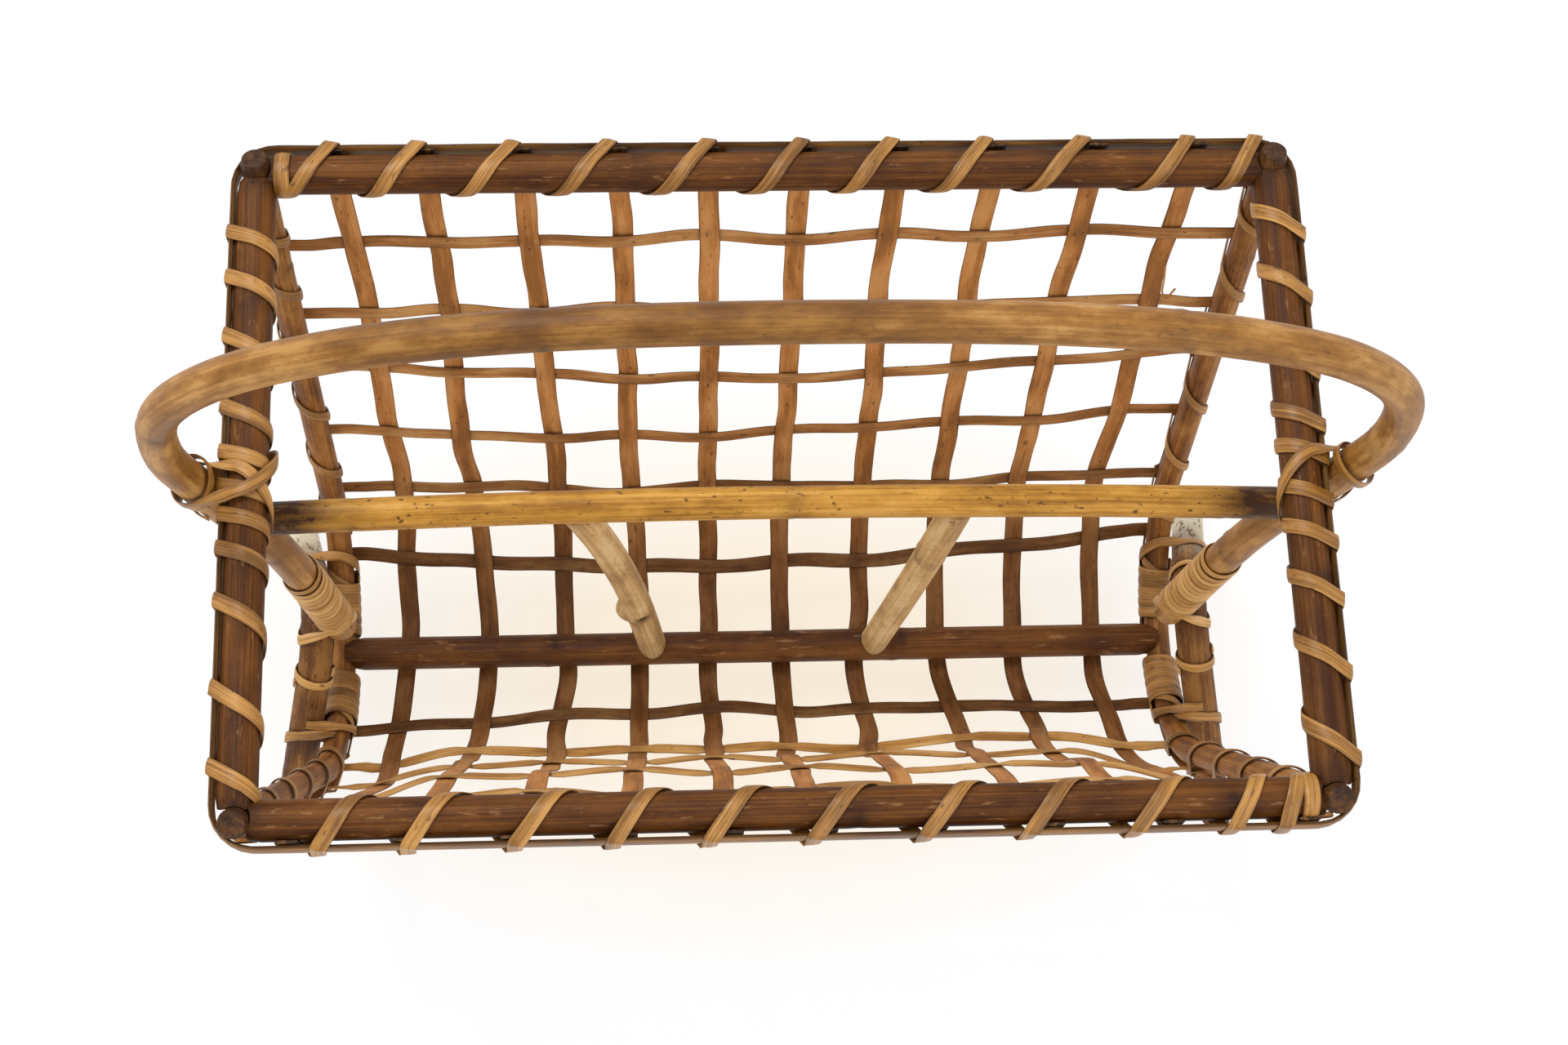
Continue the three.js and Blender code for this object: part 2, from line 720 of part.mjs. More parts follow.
// Handle bindings: close turns on the handle's ends, just above the leg hoops
const handleLength = handleCurve.getLength();
const handleAlong = (side, from = 0) => (distance) => {
  const share = (from + distance) / handleLength;
  const along = side < 0 ? share : 1 - share;
  const origin = handleCurve.getPointAt(along);
  const axis = handleCurve.getTangentAt(along).multiplyScalar(-side);
  const normal = vector(0, 1, 0);
  return { origin, axis, normal, binormal: axis.clone().cross(normal) };
};
for (const [name, side] of [['left', -1], ['right', 1]]) {
  addWinding(`handle_binding_${name}`, {
    outline: () => ringPoints(handleRadius),
    turns: crownCaneTurns,
    steps: handleTurnSteps,
    pitch: crownCanePitch,
    start: handleDiameter,
    phase: 0,
    lift: clearance,
    placeAt: handleAlong(side),
  }, crownCaneWidth, paleCane);
}

// Lashings: two turns on one diagonal round both poles where they cross. What they tie is given
// as rings of points along both poles, and a turn minds those that lie under its own width.
function ringsAlong(placeAt, outline, before, after) {
  const rings = 90;
  const points = [];
  for (let ring = 0; ring <= rings; ring += 1) {
    const place = placeAt(before + (after - before) * ring / rings);
    points.push(...outline.map((point) => inSpace(place, point)));
  }
  return points;
}

function addLashing(name, { middle, depth, axis, hand, tied }, pitch = lashingPitch) {
  const placeAt = straight(middle, axis, depth, hand);
  const slab = lashingCaneWidth / 2 + pitch / lashingTurnSteps + clearance;
  const outline = (distance) => {
    const { origin, normal, binormal } = placeAt(distance);
    return tied.map((point) => point.clone().sub(origin))
      .filter((point) => Math.abs(point.dot(axis)) < slab)
      .map((point) => [point.dot(normal), point.dot(binormal)]);
  };
  addWinding(name, {
    outline,
    turns: lashingTurns,
    steps: lashingTurnSteps,
    pitch,
    start: -pitch * lashingTurns / 2,
    phase: Math.PI / 2,
    lift: clearance,
    placeAt,
  }, lashingCaneWidth, goldenCane);
}

const lashingReach = 2 * (railDiameter + handleDiameter);
const boundFrame = boundOutline({ outline: () => frameOutline, steps: frameTurnSteps, phase: 0 });
const handleOutline = () => ringPoints(handleRadius);
const boundHandle = boundOutline({ outline: handleOutline, steps: handleTurnSteps, phase: 0 });
const sideOutline = railOutline(sideStripReach);
const boundRail = boundOutline({ outline: sideOutline, steps: turnSteps, phase: 0 });

// How far along the handle its pole passes the rim
function findRimRun() {
  let low = 0;
  let high = handleLength / 4;
  for (let step = 0; step < 40; step += 1) {
    const middle = (low + high) / 2;
    if (handleAlong(-1)(middle).origin.z < rimHeight) low = middle;
    else high = middle;
  }
  return low;
}

const legAlong = (side, from = 0) => (distance) => {
  const { y, z, normal, tangent } = legOutline.at(from + distance);
  const axis = vector(side * legLean * tangent.z, tangent.y, -tangent.z).normalize();
  const outwards = vector(0, normal.y, -normal.z);
  return { origin: vector(side * legX(-z), y, -z), normal: outwards, binormal: axis.cross(outwards) };
};

const rimRun = findRimRun();
const frameCentreHeight = rimHeight - troughDepth + frameBendRadius;
const crossingTurn = Math.atan2(crossing.y, frameCentreHeight - crossing.z);
const crossingRun = crossingTurn * (frameBendRadius + weaveOffset);
// The end of the weft nearest to where leg and frame cross, which the lashing leaves between turns
function weftEnd(way) {
  const station = weftPitch * Math.round(crossingRun / weftPitch);
  const { y, z } = troughPoint(station, weaveOffset);
  return vector(0, way * y, z);
}

for (const [name, side] of [['left', -1], ['right', 1]]) {
  const outwards = vector(side, 0, 0);
  const onRail = vector(side * rimHalfWidth, 0, rimHeight);
  const onHandle = handleAlong(side)(rimRun).origin;
  const railRun = straight(onRail, vector(0, side, 0), outwards);
  addLashing(`handle_lashing_${name}`, {
    middle: onRail.clone().lerp(onHandle, 0.5),
    depth: outwards,
    axis: vector(0, 1, 1).normalize(),
    hand: side,
    tied: [
      ...ringsAlong(railRun, boundRail, -lashingReach, lashingReach),
      ...ringsAlong(handleAlong(side, rimRun), ringPoints(handleRadius), -lashingReach, lashingReach),
    ],
  });

  const onCrown = legCrown.clone().setX(side * legCrown.x);
  const seat = handleAlong(side)(handleRadius).origin;
  const seatDepth = seat.clone().sub(onCrown).normalize();
  const leaning = vector(0, side, 0).cross(seatDepth);
  addLashing(`crown_lashing_${name}`, {
    middle: onCrown.clone().lerp(seat, 0.5),
    depth: seatDepth,
    axis: vector(0, 1, 0).add(leaning).normalize(),
    hand: side,
    tied: [
      ...ringsAlong(legAlong(side), ringPoints(legRadius), -lashingReach, lashingReach),
      ...ringsAlong(handleAlong(side), boundHandle, 0, lashingReach),
    ],
  });

  for (const [half, way] of [['front', -1], ['back', 1]]) {
    const frameRun = (distance) => frameAlong(side, way)(crossingRun + distance);
    const { origin: onFrame, axis: frameAxis } = frameRun(0);
    const legRun = legAlong(side, way * crossing.s);
    const onLeg = legRun(0).origin;
    const legAxis = legRun(way * legRadius).origin.sub(onLeg).normalize();
    const middle = onFrame.clone().lerp(onLeg, 0.5);
    const axis = frameAxis.clone().add(legAxis).projectOnPlane(outwards).normalize();
    const pastWeft = weftEnd(way).sub(middle).dot(axis);
    addLashing(`leg_lashing_${half}_${name}`, {
      middle: middle.addScaledVector(axis, pastWeft),
      depth: outwards,
      axis,
      hand: side * way,
      tied: [
        ...ringsAlong(frameRun, boundFrame, -lashingReach, lashingReach),
        ...ringsAlong(legRun, ringPoints(legRadius), -lashingReach, lashingReach),
      ],
    }, legLashingPitch);
  }
}

export default basket;
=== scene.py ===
"""Magazine basket of rattan poles and split cane, seen from above and a little from the front.

X runs along the basket, Y from its front to its back, and Z is the height above the floor.
Sizes are millimetres in the basket's own frame until a piece is finished, and metres after that.
A pole or a strip of cane is first made straight, along Z, then bent onto its run.
"""

import math
from bisect import bisect_right

import bmesh
import bpy
from mathutils import Matrix, Vector, noise


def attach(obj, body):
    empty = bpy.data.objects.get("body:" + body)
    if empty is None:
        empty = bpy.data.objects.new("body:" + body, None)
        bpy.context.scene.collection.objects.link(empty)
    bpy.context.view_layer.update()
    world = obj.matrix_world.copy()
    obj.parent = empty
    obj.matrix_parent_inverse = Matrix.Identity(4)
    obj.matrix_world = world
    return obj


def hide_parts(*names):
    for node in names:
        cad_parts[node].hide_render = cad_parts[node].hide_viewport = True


MM = 0.001
UP = Vector((0, 0, 1))
BACKWARDS = Vector((0, 1, 0))

# Sizes of the solids that the pieces stand for
RIM_HEIGHT = 272.5
RIM_HALF_WIDTH = 198.0
RIM_HALF_DEPTH = 126.5
TROUGH_DEPTH = 243.0
FRAME_TAPER = 8.0
FRAME_BEND = 68.0
FRAME_RADIUS = 5.7
POST_RISE = 9.0
RAIL_RADIUS = 7.7
STRIP_THICK, STRIP_HIGH = 1.8, 9.0
WARPS, WARP_WIDE, WARP_THICK, WARP_HALF_SPAN, WARP_GATHER = 10, 8.4, 1.2, 180.5, 0.12
WEFTS, WEFT_WIDE, WEFT_THICK, TOP_WEFT_DROP = 13, 6.8, 1.0, 49.0
END_STRIP_WIDE, END_STRIP_THICK = 7.0, 1.2
BAR_RADIUS = 7.6
DIVIDER_RADIUS, DIVIDER_HEIGHT, DIVIDER_BOW = 6.55, 231.5, 11.0
STRUT_RADIUS = 6.5
HANDLE_RADIUS, HANDLE_HALF_WIDTH = 7.2, 222.5
HANDLE_RISE, HANDLE_SHOULDER = 151.0, 36.0
HANDLE_WAIST, HANDLE_WAIST_DROP, HANDLE_SEAT_ANGLE = 198.0, 76.0, math.radians(46)
LEG_RADIUS, LEG_CROWN, LEG_BEND = 7.6, 75.0, 26.0
FOOT_HALF_WIDTH, FOOT_HALF_DEPTH = 216.5, 76.0
CANE_THICK, GAP = 0.8, 0.3
LAYER = CANE_THICK + GAP
FRAME_LEAN = FRAME_TAPER / TROUGH_DEPTH
WAVE = (WARP_THICK + WEFT_THICK) / 4 + GAP / 2
WEFT_END_OFFSET = FRAME_RADIUS + GAP + WEFT_THICK / 2
WEAVE_OFFSET = WEFT_END_OFFSET + WAVE
END_STRIP_OFFSET = WEFT_END_OFFSET + WEFT_THICK / 2 + GAP + END_STRIP_THICK / 2
SIDE_REACH = RAIL_RADIUS + GAP + STRIP_THICK
FRONT_REACH = RAIL_RADIUS + 2 * GAP + WARP_THICK + STRIP_THICK
HANDLE_RIM = RIM_HALF_WIDTH + SIDE_REACH + LAYER + GAP + HANDLE_RADIUS
BAR_HEIGHT = RIM_HEIGHT - TROUGH_DEPTH - WEAVE_OFFSET + WAVE + WARP_THICK / 2 + GAP + BAR_RADIUS
DIVIDER_RISE = HANDLE_WAIST_DROP - (RIM_HEIGHT - DIVIDER_HEIGHT)
DIVIDER_END = HANDLE_WAIST + (HANDLE_RIM - HANDLE_WAIST) * DIVIDER_RISE / HANDLE_WAIST_DROP
SIDES = (("left", -1), ("right", 1))
HALVES = (("front", -1), ("back", 1))

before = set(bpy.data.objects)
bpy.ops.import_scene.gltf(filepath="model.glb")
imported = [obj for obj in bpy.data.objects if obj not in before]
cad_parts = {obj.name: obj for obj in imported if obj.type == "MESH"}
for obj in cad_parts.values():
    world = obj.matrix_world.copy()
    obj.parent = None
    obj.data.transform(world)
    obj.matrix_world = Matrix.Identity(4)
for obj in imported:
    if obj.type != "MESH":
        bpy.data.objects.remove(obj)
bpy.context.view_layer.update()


# Finishes

def srgb(code):
    """A colour as it is written on a paint card, made linear."""
    parts = [int(code[i:i + 2], 16) / 255 for i in (0, 2, 4)]
    return [p / 12.92 if p <= 0.04045 else ((p + 0.055) / 1.055) ** 2.4 for p in parts] + [1.0]


class Finish:
    """A material under construction: each call adds a node and gives back its output."""

    def __init__(self, name):
        self.material = bpy.data.materials.new(name)
        self.material.use_nodes = True
        self.nodes = self.material.node_tree.nodes
        self.links = self.material.node_tree.links
        self.shader = self.nodes["Principled BSDF"]

    def wire(self, socket, value):
        if isinstance(value, bpy.types.NodeSocket):
            self.links.new(value, socket)
        else:
            socket.default_value = value

    def add(self, kind, output=0, settings=None, numbered=None, **named):
        made = self.nodes.new("ShaderNode" + kind)
        for key, value in (settings or {}).items():
            setattr(made, key, value)
        for key, value in (numbered or {}).items():
            self.wire(made.inputs[key], value)
        for key, value in named.items():
            self.wire(made.inputs[key.replace("_", " ")], value)
        return made.outputs[output]

    def attribute(self, name, output="Fac"):
        return self.add("Attribute", output, {"attribute_name": name})

    def place(self, along):
        """How far along X, Y or Z a spot lies, in metres. Z is its height above the floor."""
        return self.add("SeparateXYZ", along, Vector=self.add("TexCoord", "Object"))

    def grain_noise(self, stretch, detail=4.0, rough=0.6):
        """Noise that follows the piece, with so many changes per millimetre across and along it."""
        across, along = stretch
        place = self.add("Mapping", Vector=self.attribute("grain", "Vector"), Scale=(across, across, along))
        return self.add("TexNoise", "Fac", Vector=place, Scale=1.0, Detail=detail, Roughness=rough)

    def math(self, operation, first, second):
        return self.add("Math", 0, {"operation": operation, "use_clamp": True}, {0: first, 1: second})

    def sum_of(self, *parts):
        """Values added up, each times its share."""
        total = None
        for value, share in parts:
            part = self.math("MULTIPLY", value, share)
            total = part if total is None else self.math("ADD", total, part)
        return total

    def spread(self, value, low, high, to_low=0.0, to_high=1.0):
        return self.add("MapRange", "Result", Value=value, From_Min=low, From_Max=high, To_Min=to_low,
                        To_Max=to_high)

    def ramp(self, value, stops):
        made = self.nodes.new("ShaderNodeValToRGB")
        self.wire(made.inputs["Fac"], value)
        elements = made.color_ramp.elements
        while len(elements) < len(stops):
            elements.new(0.5)
        for element, (place, colour) in zip(elements, stops):
            element.position = place
            element.color = srgb(colour)
        return made.outputs["Color"]

    def mix(self, share, first, second, blend="MIX"):
        return self.add("Mix", 2, {"data_type": "RGBA", "blend_type": blend}, {0: share, 6: first, 7: second})

    def darken(self, colour, specks, dirt, stain_and_shade):
        """Specks, stains of ends and joints, and painted shade where strips cross or sit under the rim, all
        patchy as the dirt is.
        """
        # One attribute holds both the real stains and the painted shade
        stained_and_shaded = self.math("MULTIPLY", self.attribute("stain_and_shade"), self.spread(dirt, 0.3, 0.7, 0.6, 1.3))
        return self.mix(self.math("ADD", specks, stained_and_shaded), colour, srgb(stain_and_shade))

    def finish(self, colour, roughness, height, depth, shine):
        bump = self.add("Bump", "Normal", Height=height, Distance=depth * MM, Strength=1.0)
        parts = {"Base Color": colour, "Roughness": roughness, "Normal": bump, "Specular IOR Level": shine}
        for key, value in parts.items():
            self.wire(self.shader.inputs[key], value)
        return self.material


TONE_STOPS = (0.42, 0.5, 0.58)
# Colours of chalk, of scuffs, and of the painted shade on the handle's arch
CHALK, SCUFF, ARCH_SHADE_COLOUR = "d8ccb0", "b98a5c", "cdc39c"


def rattan(name, stops, stain_and_shade, fibre=1.1, speck=0.0, patch=0.5, rough=(0.42, 0.62), chalk=0.0, scuff=0.0,
           shine=0.22, arch_shade=0.0, slot=None):
    """A round pole: long fibres under the skin, patches of tone, dark specks and stained joints.

    It may be chalky low down at the back, scuffed, or given painted shade left of the middle. It comes with
    its slot.
    """
    skin = Finish(name)
    fibres = skin.grain_noise((fibre, 0.012), 6, 0.75)
    bands = skin.grain_noise((0.2, 0.004), 3, 0.5)
    patches = skin.grain_noise((0.08, 0.035), 4, 0.65)
    dirt = skin.grain_noise((0.3, 0.1), 5, 0.75)
    tone = skin.sum_of((fibres, 0.5 - 0.25 * patch), (bands, 0.35 - 0.2 * patch),
                       (patches, 0.15 + 0.45 * patch))
    colour = skin.ramp(tone, list(zip(TONE_STOPS, stops)))
    if chalk:
        low = skin.spread(skin.place("Z"), 0.03, 0.065, chalk, 0.0)
        worn = skin.math("MULTIPLY", low, skin.spread(dirt, 0.38, 0.48))
        worn = skin.math("MULTIPLY", worn, skin.spread(skin.place("Y"), -0.02, 0.04))
        colour = skin.mix(worn, colour, srgb(CHALK))
    # Painted shade on the arch, left of the middle, patchy with the bands
    if arch_shade:
        far = skin.place("X")
        held = skin.math("MULTIPLY", skin.spread(far, -0.18, -0.11), skin.spread(far, 0.0, 0.09, arch_shade, 0.0))
        held = skin.math("MULTIPLY", held, skin.spread(bands, 0.35, 0.55, 0.75, 1.0))
        colour = skin.mix(held, colour, srgb(ARCH_SHADE_COLOUR), "MULTIPLY")
    if scuff:
        rubbed = skin.spread(skin.grain_noise((0.45, 0.09), 3, 0.6), 0.62, 0.7, 0.0, scuff)
        colour = skin.mix(rubbed, colour, srgb(SCUFF))
    specks = skin.spread(skin.grain_noise((0.55, 0.32), 2, 0.5), 0.64, 0.71, 0.0, speck)
    colour = skin.darken(colour, specks, dirt, stain_and_shade)
    roughness = skin.spread(patches, 0.3, 0.7, *rough)
    height = skin.sum_of((fibres, 0.6), (dirt, 0.4))
    return skin.finish(colour, roughness, height, 0.3, shine), slot or name


def cane(name, stops, stain_and_shade, rough, edge, depth=0.15, fibre=1.8, shine=0.35, streak=0.5, shade_and_grime=None,
         slot=None):
    """Split cane: fine straight fibres, dark cut edges, and painted shade low down, patchy like grime. It
    comes with its slot.
    """
    skin = Finish(name)
    fibres = skin.grain_noise((fibre, 0.015), 5, 0.7)
    patches = skin.grain_noise((0.1, 0.02), 4, 0.6)
    dirt = skin.grain_noise((0.35, 0.15), 4, 0.7)
    tone = skin.sum_of((fibres, streak), (patches, 1 - streak))
    colour = skin.ramp(tone, list(zip(TONE_STOPS, stops)))
    # Painted shade: darker towards the bottom of the trough, made patchy by the dirt noise
    if shade_and_grime:
        low = skin.spread(skin.place("Z"), 0.03, 0.1, 0.85, 0.0)
        low = skin.math("ADD", low, skin.math("MULTIPLY", skin.math("SUBTRACT", dirt, 0.4), 0.5))
        colour = skin.mix(low, colour, srgb(shade_and_grime), "MULTIPLY")
    edges = skin.spread(skin.attribute("edge"), 0.88, 1.0, 0.0, edge)
    specks = skin.spread(skin.grain_noise((0.5, 0.25), 2, 0.5), 0.66, 0.73, 0.0, 0.6)
    colour = skin.darken(colour, skin.math("ADD", edges, specks), dirt, stain_and_shade)
    roughness = skin.spread(patches, 0.3, 0.7, *rough)
    return skin.finish(colour, roughness, fibres, depth, shine), slot or name


DARK_RATTAN = rattan("dark_rattan", ("41200b", "5b3410", "74461a"), "1f100a", fibre=1.2, speck=0.25,
                     patch=0.35, rough=(0.4, 0.55), scuff=0.32, shine=0.16)
FRAME_POLE = rattan("frame_pole", ("5e3713", "875422", "a87438"), "2c1a10", fibre=1.0, speck=0.35, patch=0.65)
HONEY_RATTAN = rattan("honey_rattan", ("91601f", "b8832f", "d29e4c"), "3d2210", fibre=0.8, speck=0.8,
                      rough=(0.36, 0.55))
# The handle's arch gets painted shade left of the middle
HANDLE_RATTAN = rattan("handle_rattan", ("7d511c", "9a692d", "bb8b4d"), "4a2c12", fibre=0.7, speck=0.3,
                       patch=0.9, rough=(0.38, 0.52), shine=0.3, arch_shade=1.0, slot="honey_rattan")
LEG_RATTAN = rattan("leg_rattan", ("4d2e12", "6c421b", "8f6231"), "30190c", fibre=0.9, speck=0.8, patch=0.75,
                    rough=(0.5, 0.7), chalk=0.9)
GREY_RATTAN = rattan("grey_rattan", ("a07a47", "c59c62", "dcba85"), "543a20", fibre=0.8, speck=0.5, patch=0.6,
                     rough=(0.5, 0.7))
WOVEN = {"depth": 0.1, "fibre": 1.5, "shine": 0.2}
# The warps and the back wefts get painted shade low down
WARP_CANE = cane("warp_cane", ("96602a", "bb7b3e", "cc9153"), "33200f", (0.5, 0.65), 0.75, streak=0.25,
                 shade_and_grime="8b8276", **WOVEN)
WEFT_CANE = cane("weft_cane", ("885a2a", "aa713c", "c69459"), "2f1a0c", (0.5, 0.65), 0.75, streak=0.35,
                 shade_and_grime="7f766b", **WOVEN)
# A lighter copy of the weft cane for the front wefts: painted light on edges that catch the light
LIT_WEFT = cane("lit_weft_cane", ("9a6a30", "bd8a48", "d2a465"), "3f2510", (0.45, 0.6), 0.6, streak=0.35,
                 slot="weft_cane", **WOVEN)
GOLDEN_CANE = cane("golden_cane", ("704815", "996828", "c08c46"), "43260d", (0.3, 0.42), 0.6, shine=0.45)
FRAME_CANE = cane("frame_cane", ("6f4b1f", "966831", "b78547"), "2e1c0f", (0.38, 0.52), 0.9)
# A darker copy of the golden cane for the rim strip: painted shade, as the strip sits in shadow beside the
# rails
SHADED_RIM_CANE = cane("shaded_rim_cane", ("5e3a12", "80541f", "a47436"), "2b180a", (0.35, 0.5), 0.85, slot="golden_cane")
PALE_CANE = cane("pale_cane", ("9b6c2c", "bf8c46", "d8aa68"), "3f2710", (0.36, 0.5), 1.3)


# Runs that a straight piece is bent onto

class Run:
    """Stations along a piece: where its middle is and which way is out. Across is square to both."""

    def __init__(self, stations):
        self.points = [point for point, _ in stations]
        self.outs = [out for _, out in stations]
        self.marks = [0.0]
        for before, after in zip(self.points, self.points[1:]):
            self.marks.append(self.marks[-1] + (after - before).length)
        self.length = self.marks[-1]

    def at(self, distance):
        low = min(max(bisect_right(self.marks, distance) - 1, 0), len(self.marks) - 2)
        span = self.marks[low + 1] - self.marks[low]
        share = (distance - self.marks[low]) / span
        point = self.points[low].lerp(self.points[low + 1], share)
        held = min(max(share, 0), 1)
        out = self.outs[low].lerp(self.outs[low + 1], held)
        way = self.way(low).lerp(self.way(low + 1), held).normalized()
        across = way.cross(out).normalized()
        return point, across, across.cross(way)

    def way(self, index):
        before = self.points[max(index - 1, 0)]
        after = self.points[min(index + 1, len(self.points) - 1)]
        return (after - before).normalized()


def run_facing(out, points):
    return Run([(point, out) for point in points])


class Hoop:
    """Two straight arms that run tangent into a round bend, seen from the side; s is the length along it."""

    def __init__(self, half_width, height, bend):
        self.bend = bend
        self.centre = height - bend
        reach = math.hypot(half_width, self.centre)
        self.sweep = math.atan2(self.centre, half_width) - math.acos(bend / reach) + math.pi / 2
        self.arm = math.sqrt(reach ** 2 - bend ** 2)

    def length(self, offset=0.0):
        return (self.bend + offset) * self.sweep + self.arm

    def at(self, s, offset=0.0):
        side = -1 if s < 0 else 1
        radius = self.bend + offset
        turned = min(abs(s) / radius, self.sweep)
        along = max(abs(s) - radius * self.sweep, 0.0)
        out = Vector((0, side * math.sin(turned), -math.cos(turned)))
        way = Vector((0, math.cos(turned), side * math.sin(turned)))
        return out * radius + way * (side * along) - Vector((0, 0, self.centre)), out, way


TROUGH = Hoop(RIM_HALF_DEPTH, TROUGH_DEPTH, FRAME_BEND)
LEG = Hoop(FOOT_HALF_DEPTH, LEG_CROWN, LEG_BEND)
WEFT_PITCH = 2 * (TROUGH.length(WEAVE_OFFSET) - TOP_WEFT_DROP) / (WEFTS - 1)


def frame_x(z):
    return RIM_HALF_WIDTH - FRAME_LEAN * (RIM_HEIGHT - z)


def trough(s, offset=0.0):
    point, out, way = TROUGH.at(s, offset)
    return point + Vector((0, 0, RIM_HEIGHT)), out, way


def beside_trough(side, top, offset=0.0):
    """A run round the trough at one end of the basket, up to a length on each arm."""
    stations = []
    for s in steps(-top, top, 3):
        point, out, _ = trough(s, offset)
        stations.append((Vector((side * frame_x(point.z), point.y, point.z)), out))
    return Run(stations)


def steps(start, end, size):
    count = max(round(abs(end - start) / size), 1)
    return [start + (end - start) * k / count for k in range(count + 1)]


def last_inside(length, inside):
    """How far along a length the test stops holding, found by halving."""
    low, high = 0.0, length
    for _ in range(40):
        middle = (low + high) / 2
        if inside(middle):
            low = middle
        else:
            high = middle
    return low


def cubic(start, end, leave, arrive, t):
    """A smooth way from start to end, with the speeds at which it leaves and arrives."""
    return (start + leave * t + (end * 3 - start * 3 - leave * 2 - arrive) * t ** 2
            + (start * 2 - end * 2 + leave + arrive) * t ** 3)


def spline(points):
    """A smooth line through points that is no wider in its bends than they are."""
    ends = [points[0] * 2 - points[1], *points, points[-1] * 2 - points[-2]]
    line = []
    for a, b, c, d in zip(ends, ends[1:], ends[2:], ends[3:]):
        t0, t1, t2 = ((q - p).length ** 0.5 for p, q in ((a, b), (b, c), (c, d)))
        leave = ((b - a) / t0 - (c - a) / (t0 + t1) + (c - b) / t1) * t1
        arrive = ((c - b) / t1 - (d - b) / (t1 + t2) + (d - c) / t2) * t1
        line += [cubic(b, c, leave, arrive, k / 24) for k in range(24)]
    return line + [points[-1]]


# Straight pieces

JOINT_RING, JOINT_GROOVE = 0.3, 0.2
END_ROUND, END_DROP = 1.2, 0.8
KNOT_SWELL, KNOT_HOLE = 3.4, 2.6
KNOT_HOLES = ((9, 3.6, 0.3, 0.6), (4, 3.8, 1.75, 0.5))
STRAIGHT_END = 9


def ease(value):
    value = min(max(value, 0.0), 1.0)
    return value * value * (3 - 2 * value)


def near(value, place, reach):
    return math.exp(-((value - place) / reach) ** 2)


def straight(length, sides, step):
    """A closed straight pole of radius 1 along Z, with a ring of edges at each step."""
    bm = bmesh.new()
    bmesh.ops.create_cone(bm, cap_ends=True, segments=sides, radius1=1, radius2=1, depth=length,
                          matrix=Matrix.Translation((0, 0, length / 2)))
    long_edges = [e for e in bm.edges if abs(e.verts[0].co.z - e.verts[1].co.z) > length / 2]
    bmesh.ops.subdivide_edges(bm, edges=long_edges, cuts=max(round(length / step) - 1, 1))
    return bm


def keep_grain(bm, seed):
    """Each spot keeps its place on the straight piece, moved so that no two pieces have the same grain."""
    shift = Vector((seed * 31.0, seed * 17.0, seed * 211.0))
    grain = bm.verts.layers.float_vector.new("grain")
    for v in bm.verts:
        v[grain] = v.co + shift


def bend(bm, run):
    """Moves the straight piece onto its run, ring by ring."""
    found = {}
    for v in bm.verts:
        z = round(v.co.z, 3)
        if z not in found:
            found[z] = run.at(z)
        point, across, out = found[z]
        v.co = point + across * v.co.x + out * v.co.y


def add_object(name, data):
    made = bpy.data.objects.new(name, data)
    bpy.context.scene.collection.objects.link(made)
    return made


def finish_piece(name, bm, look, nodes=None, sharp=40):
    """The bmesh becomes the piece, in metres. It stands for the node of its own name, unless it has none."""
    finish, slot = look
    nodes = [name] if nodes is None else nodes
    bmesh.ops.scale(bm, vec=(MM, MM, MM), verts=bm.verts)
    bmesh.ops.recalc_face_normals(bm, faces=bm.faces)
    mesh = bpy.data.meshes.new(name)
    bm.to_mesh(mesh)
    bm.free()
    mesh.polygons.foreach_set("use_smooth", [True] * len(mesh.polygons))
    mesh.set_sharp_from_angle(angle=math.radians(sharp))
    mesh.materials.append(finish)
    piece = add_object(name, mesh)
    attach(piece, "root")
    if nodes:
        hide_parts(*nodes)


def shape_pole(bm, length, radius, joints, ends, seed, burn):
    """A real pole's round: slightly oval and wavy, ringed at its joints, rounded at its ends and darkened
    there by stains, on the divider by painted shade as well.
    """
    stain_and_shade = bm.verts.layers.float.new("stain_and_shade")
    shift = Vector((seed * 13.7, seed * 7.1, 0))
    for v in bm.verts:
        x, y, z = v.co
        angle = math.atan2(y, x)
        wave = noise.noise(Vector((math.cos(angle), math.sin(angle), z / 45)) + shift)
        grow = radius * (0.985 + 0.012 * wave)
        dark = 0.0
        for joint in joints:
            skew = joint + 1.4 * math.sin(angle + seed)
            grow += JOINT_RING * near(z, skew, 1.1) - JOINT_GROOVE * near(z, skew + 2.6, 1.2)
            dark = max(dark, 0.7 * near(z, skew + 1.8, 0.9), 0.3 * near(z, skew, 5))
        from_end = min(z, length - z)
        if from_end < END_ROUND:
            grow -= END_DROP * (1 - from_end / END_ROUND) ** 2
        ragged = burn * (1 + 0.35 * noise.noise(Vector((x * 1.5, y * 1.5, seed))))
        dark = max(dark, near(z, 0, ragged) * ends[0], near(z, length, ragged) * ends[1])
        v[stain_and_shade] = min(dark, 1.0)
        v.co = Vector((x * grow, y * grow, z))


def carve_knot(bm, place, facing):
    """A side shoot cut off long ago: a swelling with two dark holes, each so far along and round from it."""
    stain_and_shade = bm.verts.layers.float["stain_and_shade"]
    for v in bm.verts:
        angle = math.atan2(v.co.y, v.co.x) - facing
        turned = math.atan2(math.sin(angle), math.cos(angle))
        bump = KNOT_SWELL * near(v.co.z, place, 9) * near(turned, 0, 0.8)
        hole = max(near(v.co.z, place + along, long) * near(turned, around, wide)
                   for along, long, around, wide in KNOT_HOLES)
        radius = math.hypot(v.co.x, v.co.y)
        grow = 1 + (bump - KNOT_HOLE * hole) / radius
        v.co.x, v.co.y = v.co.x * grow, v.co.y * grow
        shade = 0.35 * near(v.co.z, place + 2, 9) * near(turned, 0.7, 0.5)
        v[stain_and_shade] = min(max(v[stain_and_shade], 1.6 * hole, shade), 1.0)


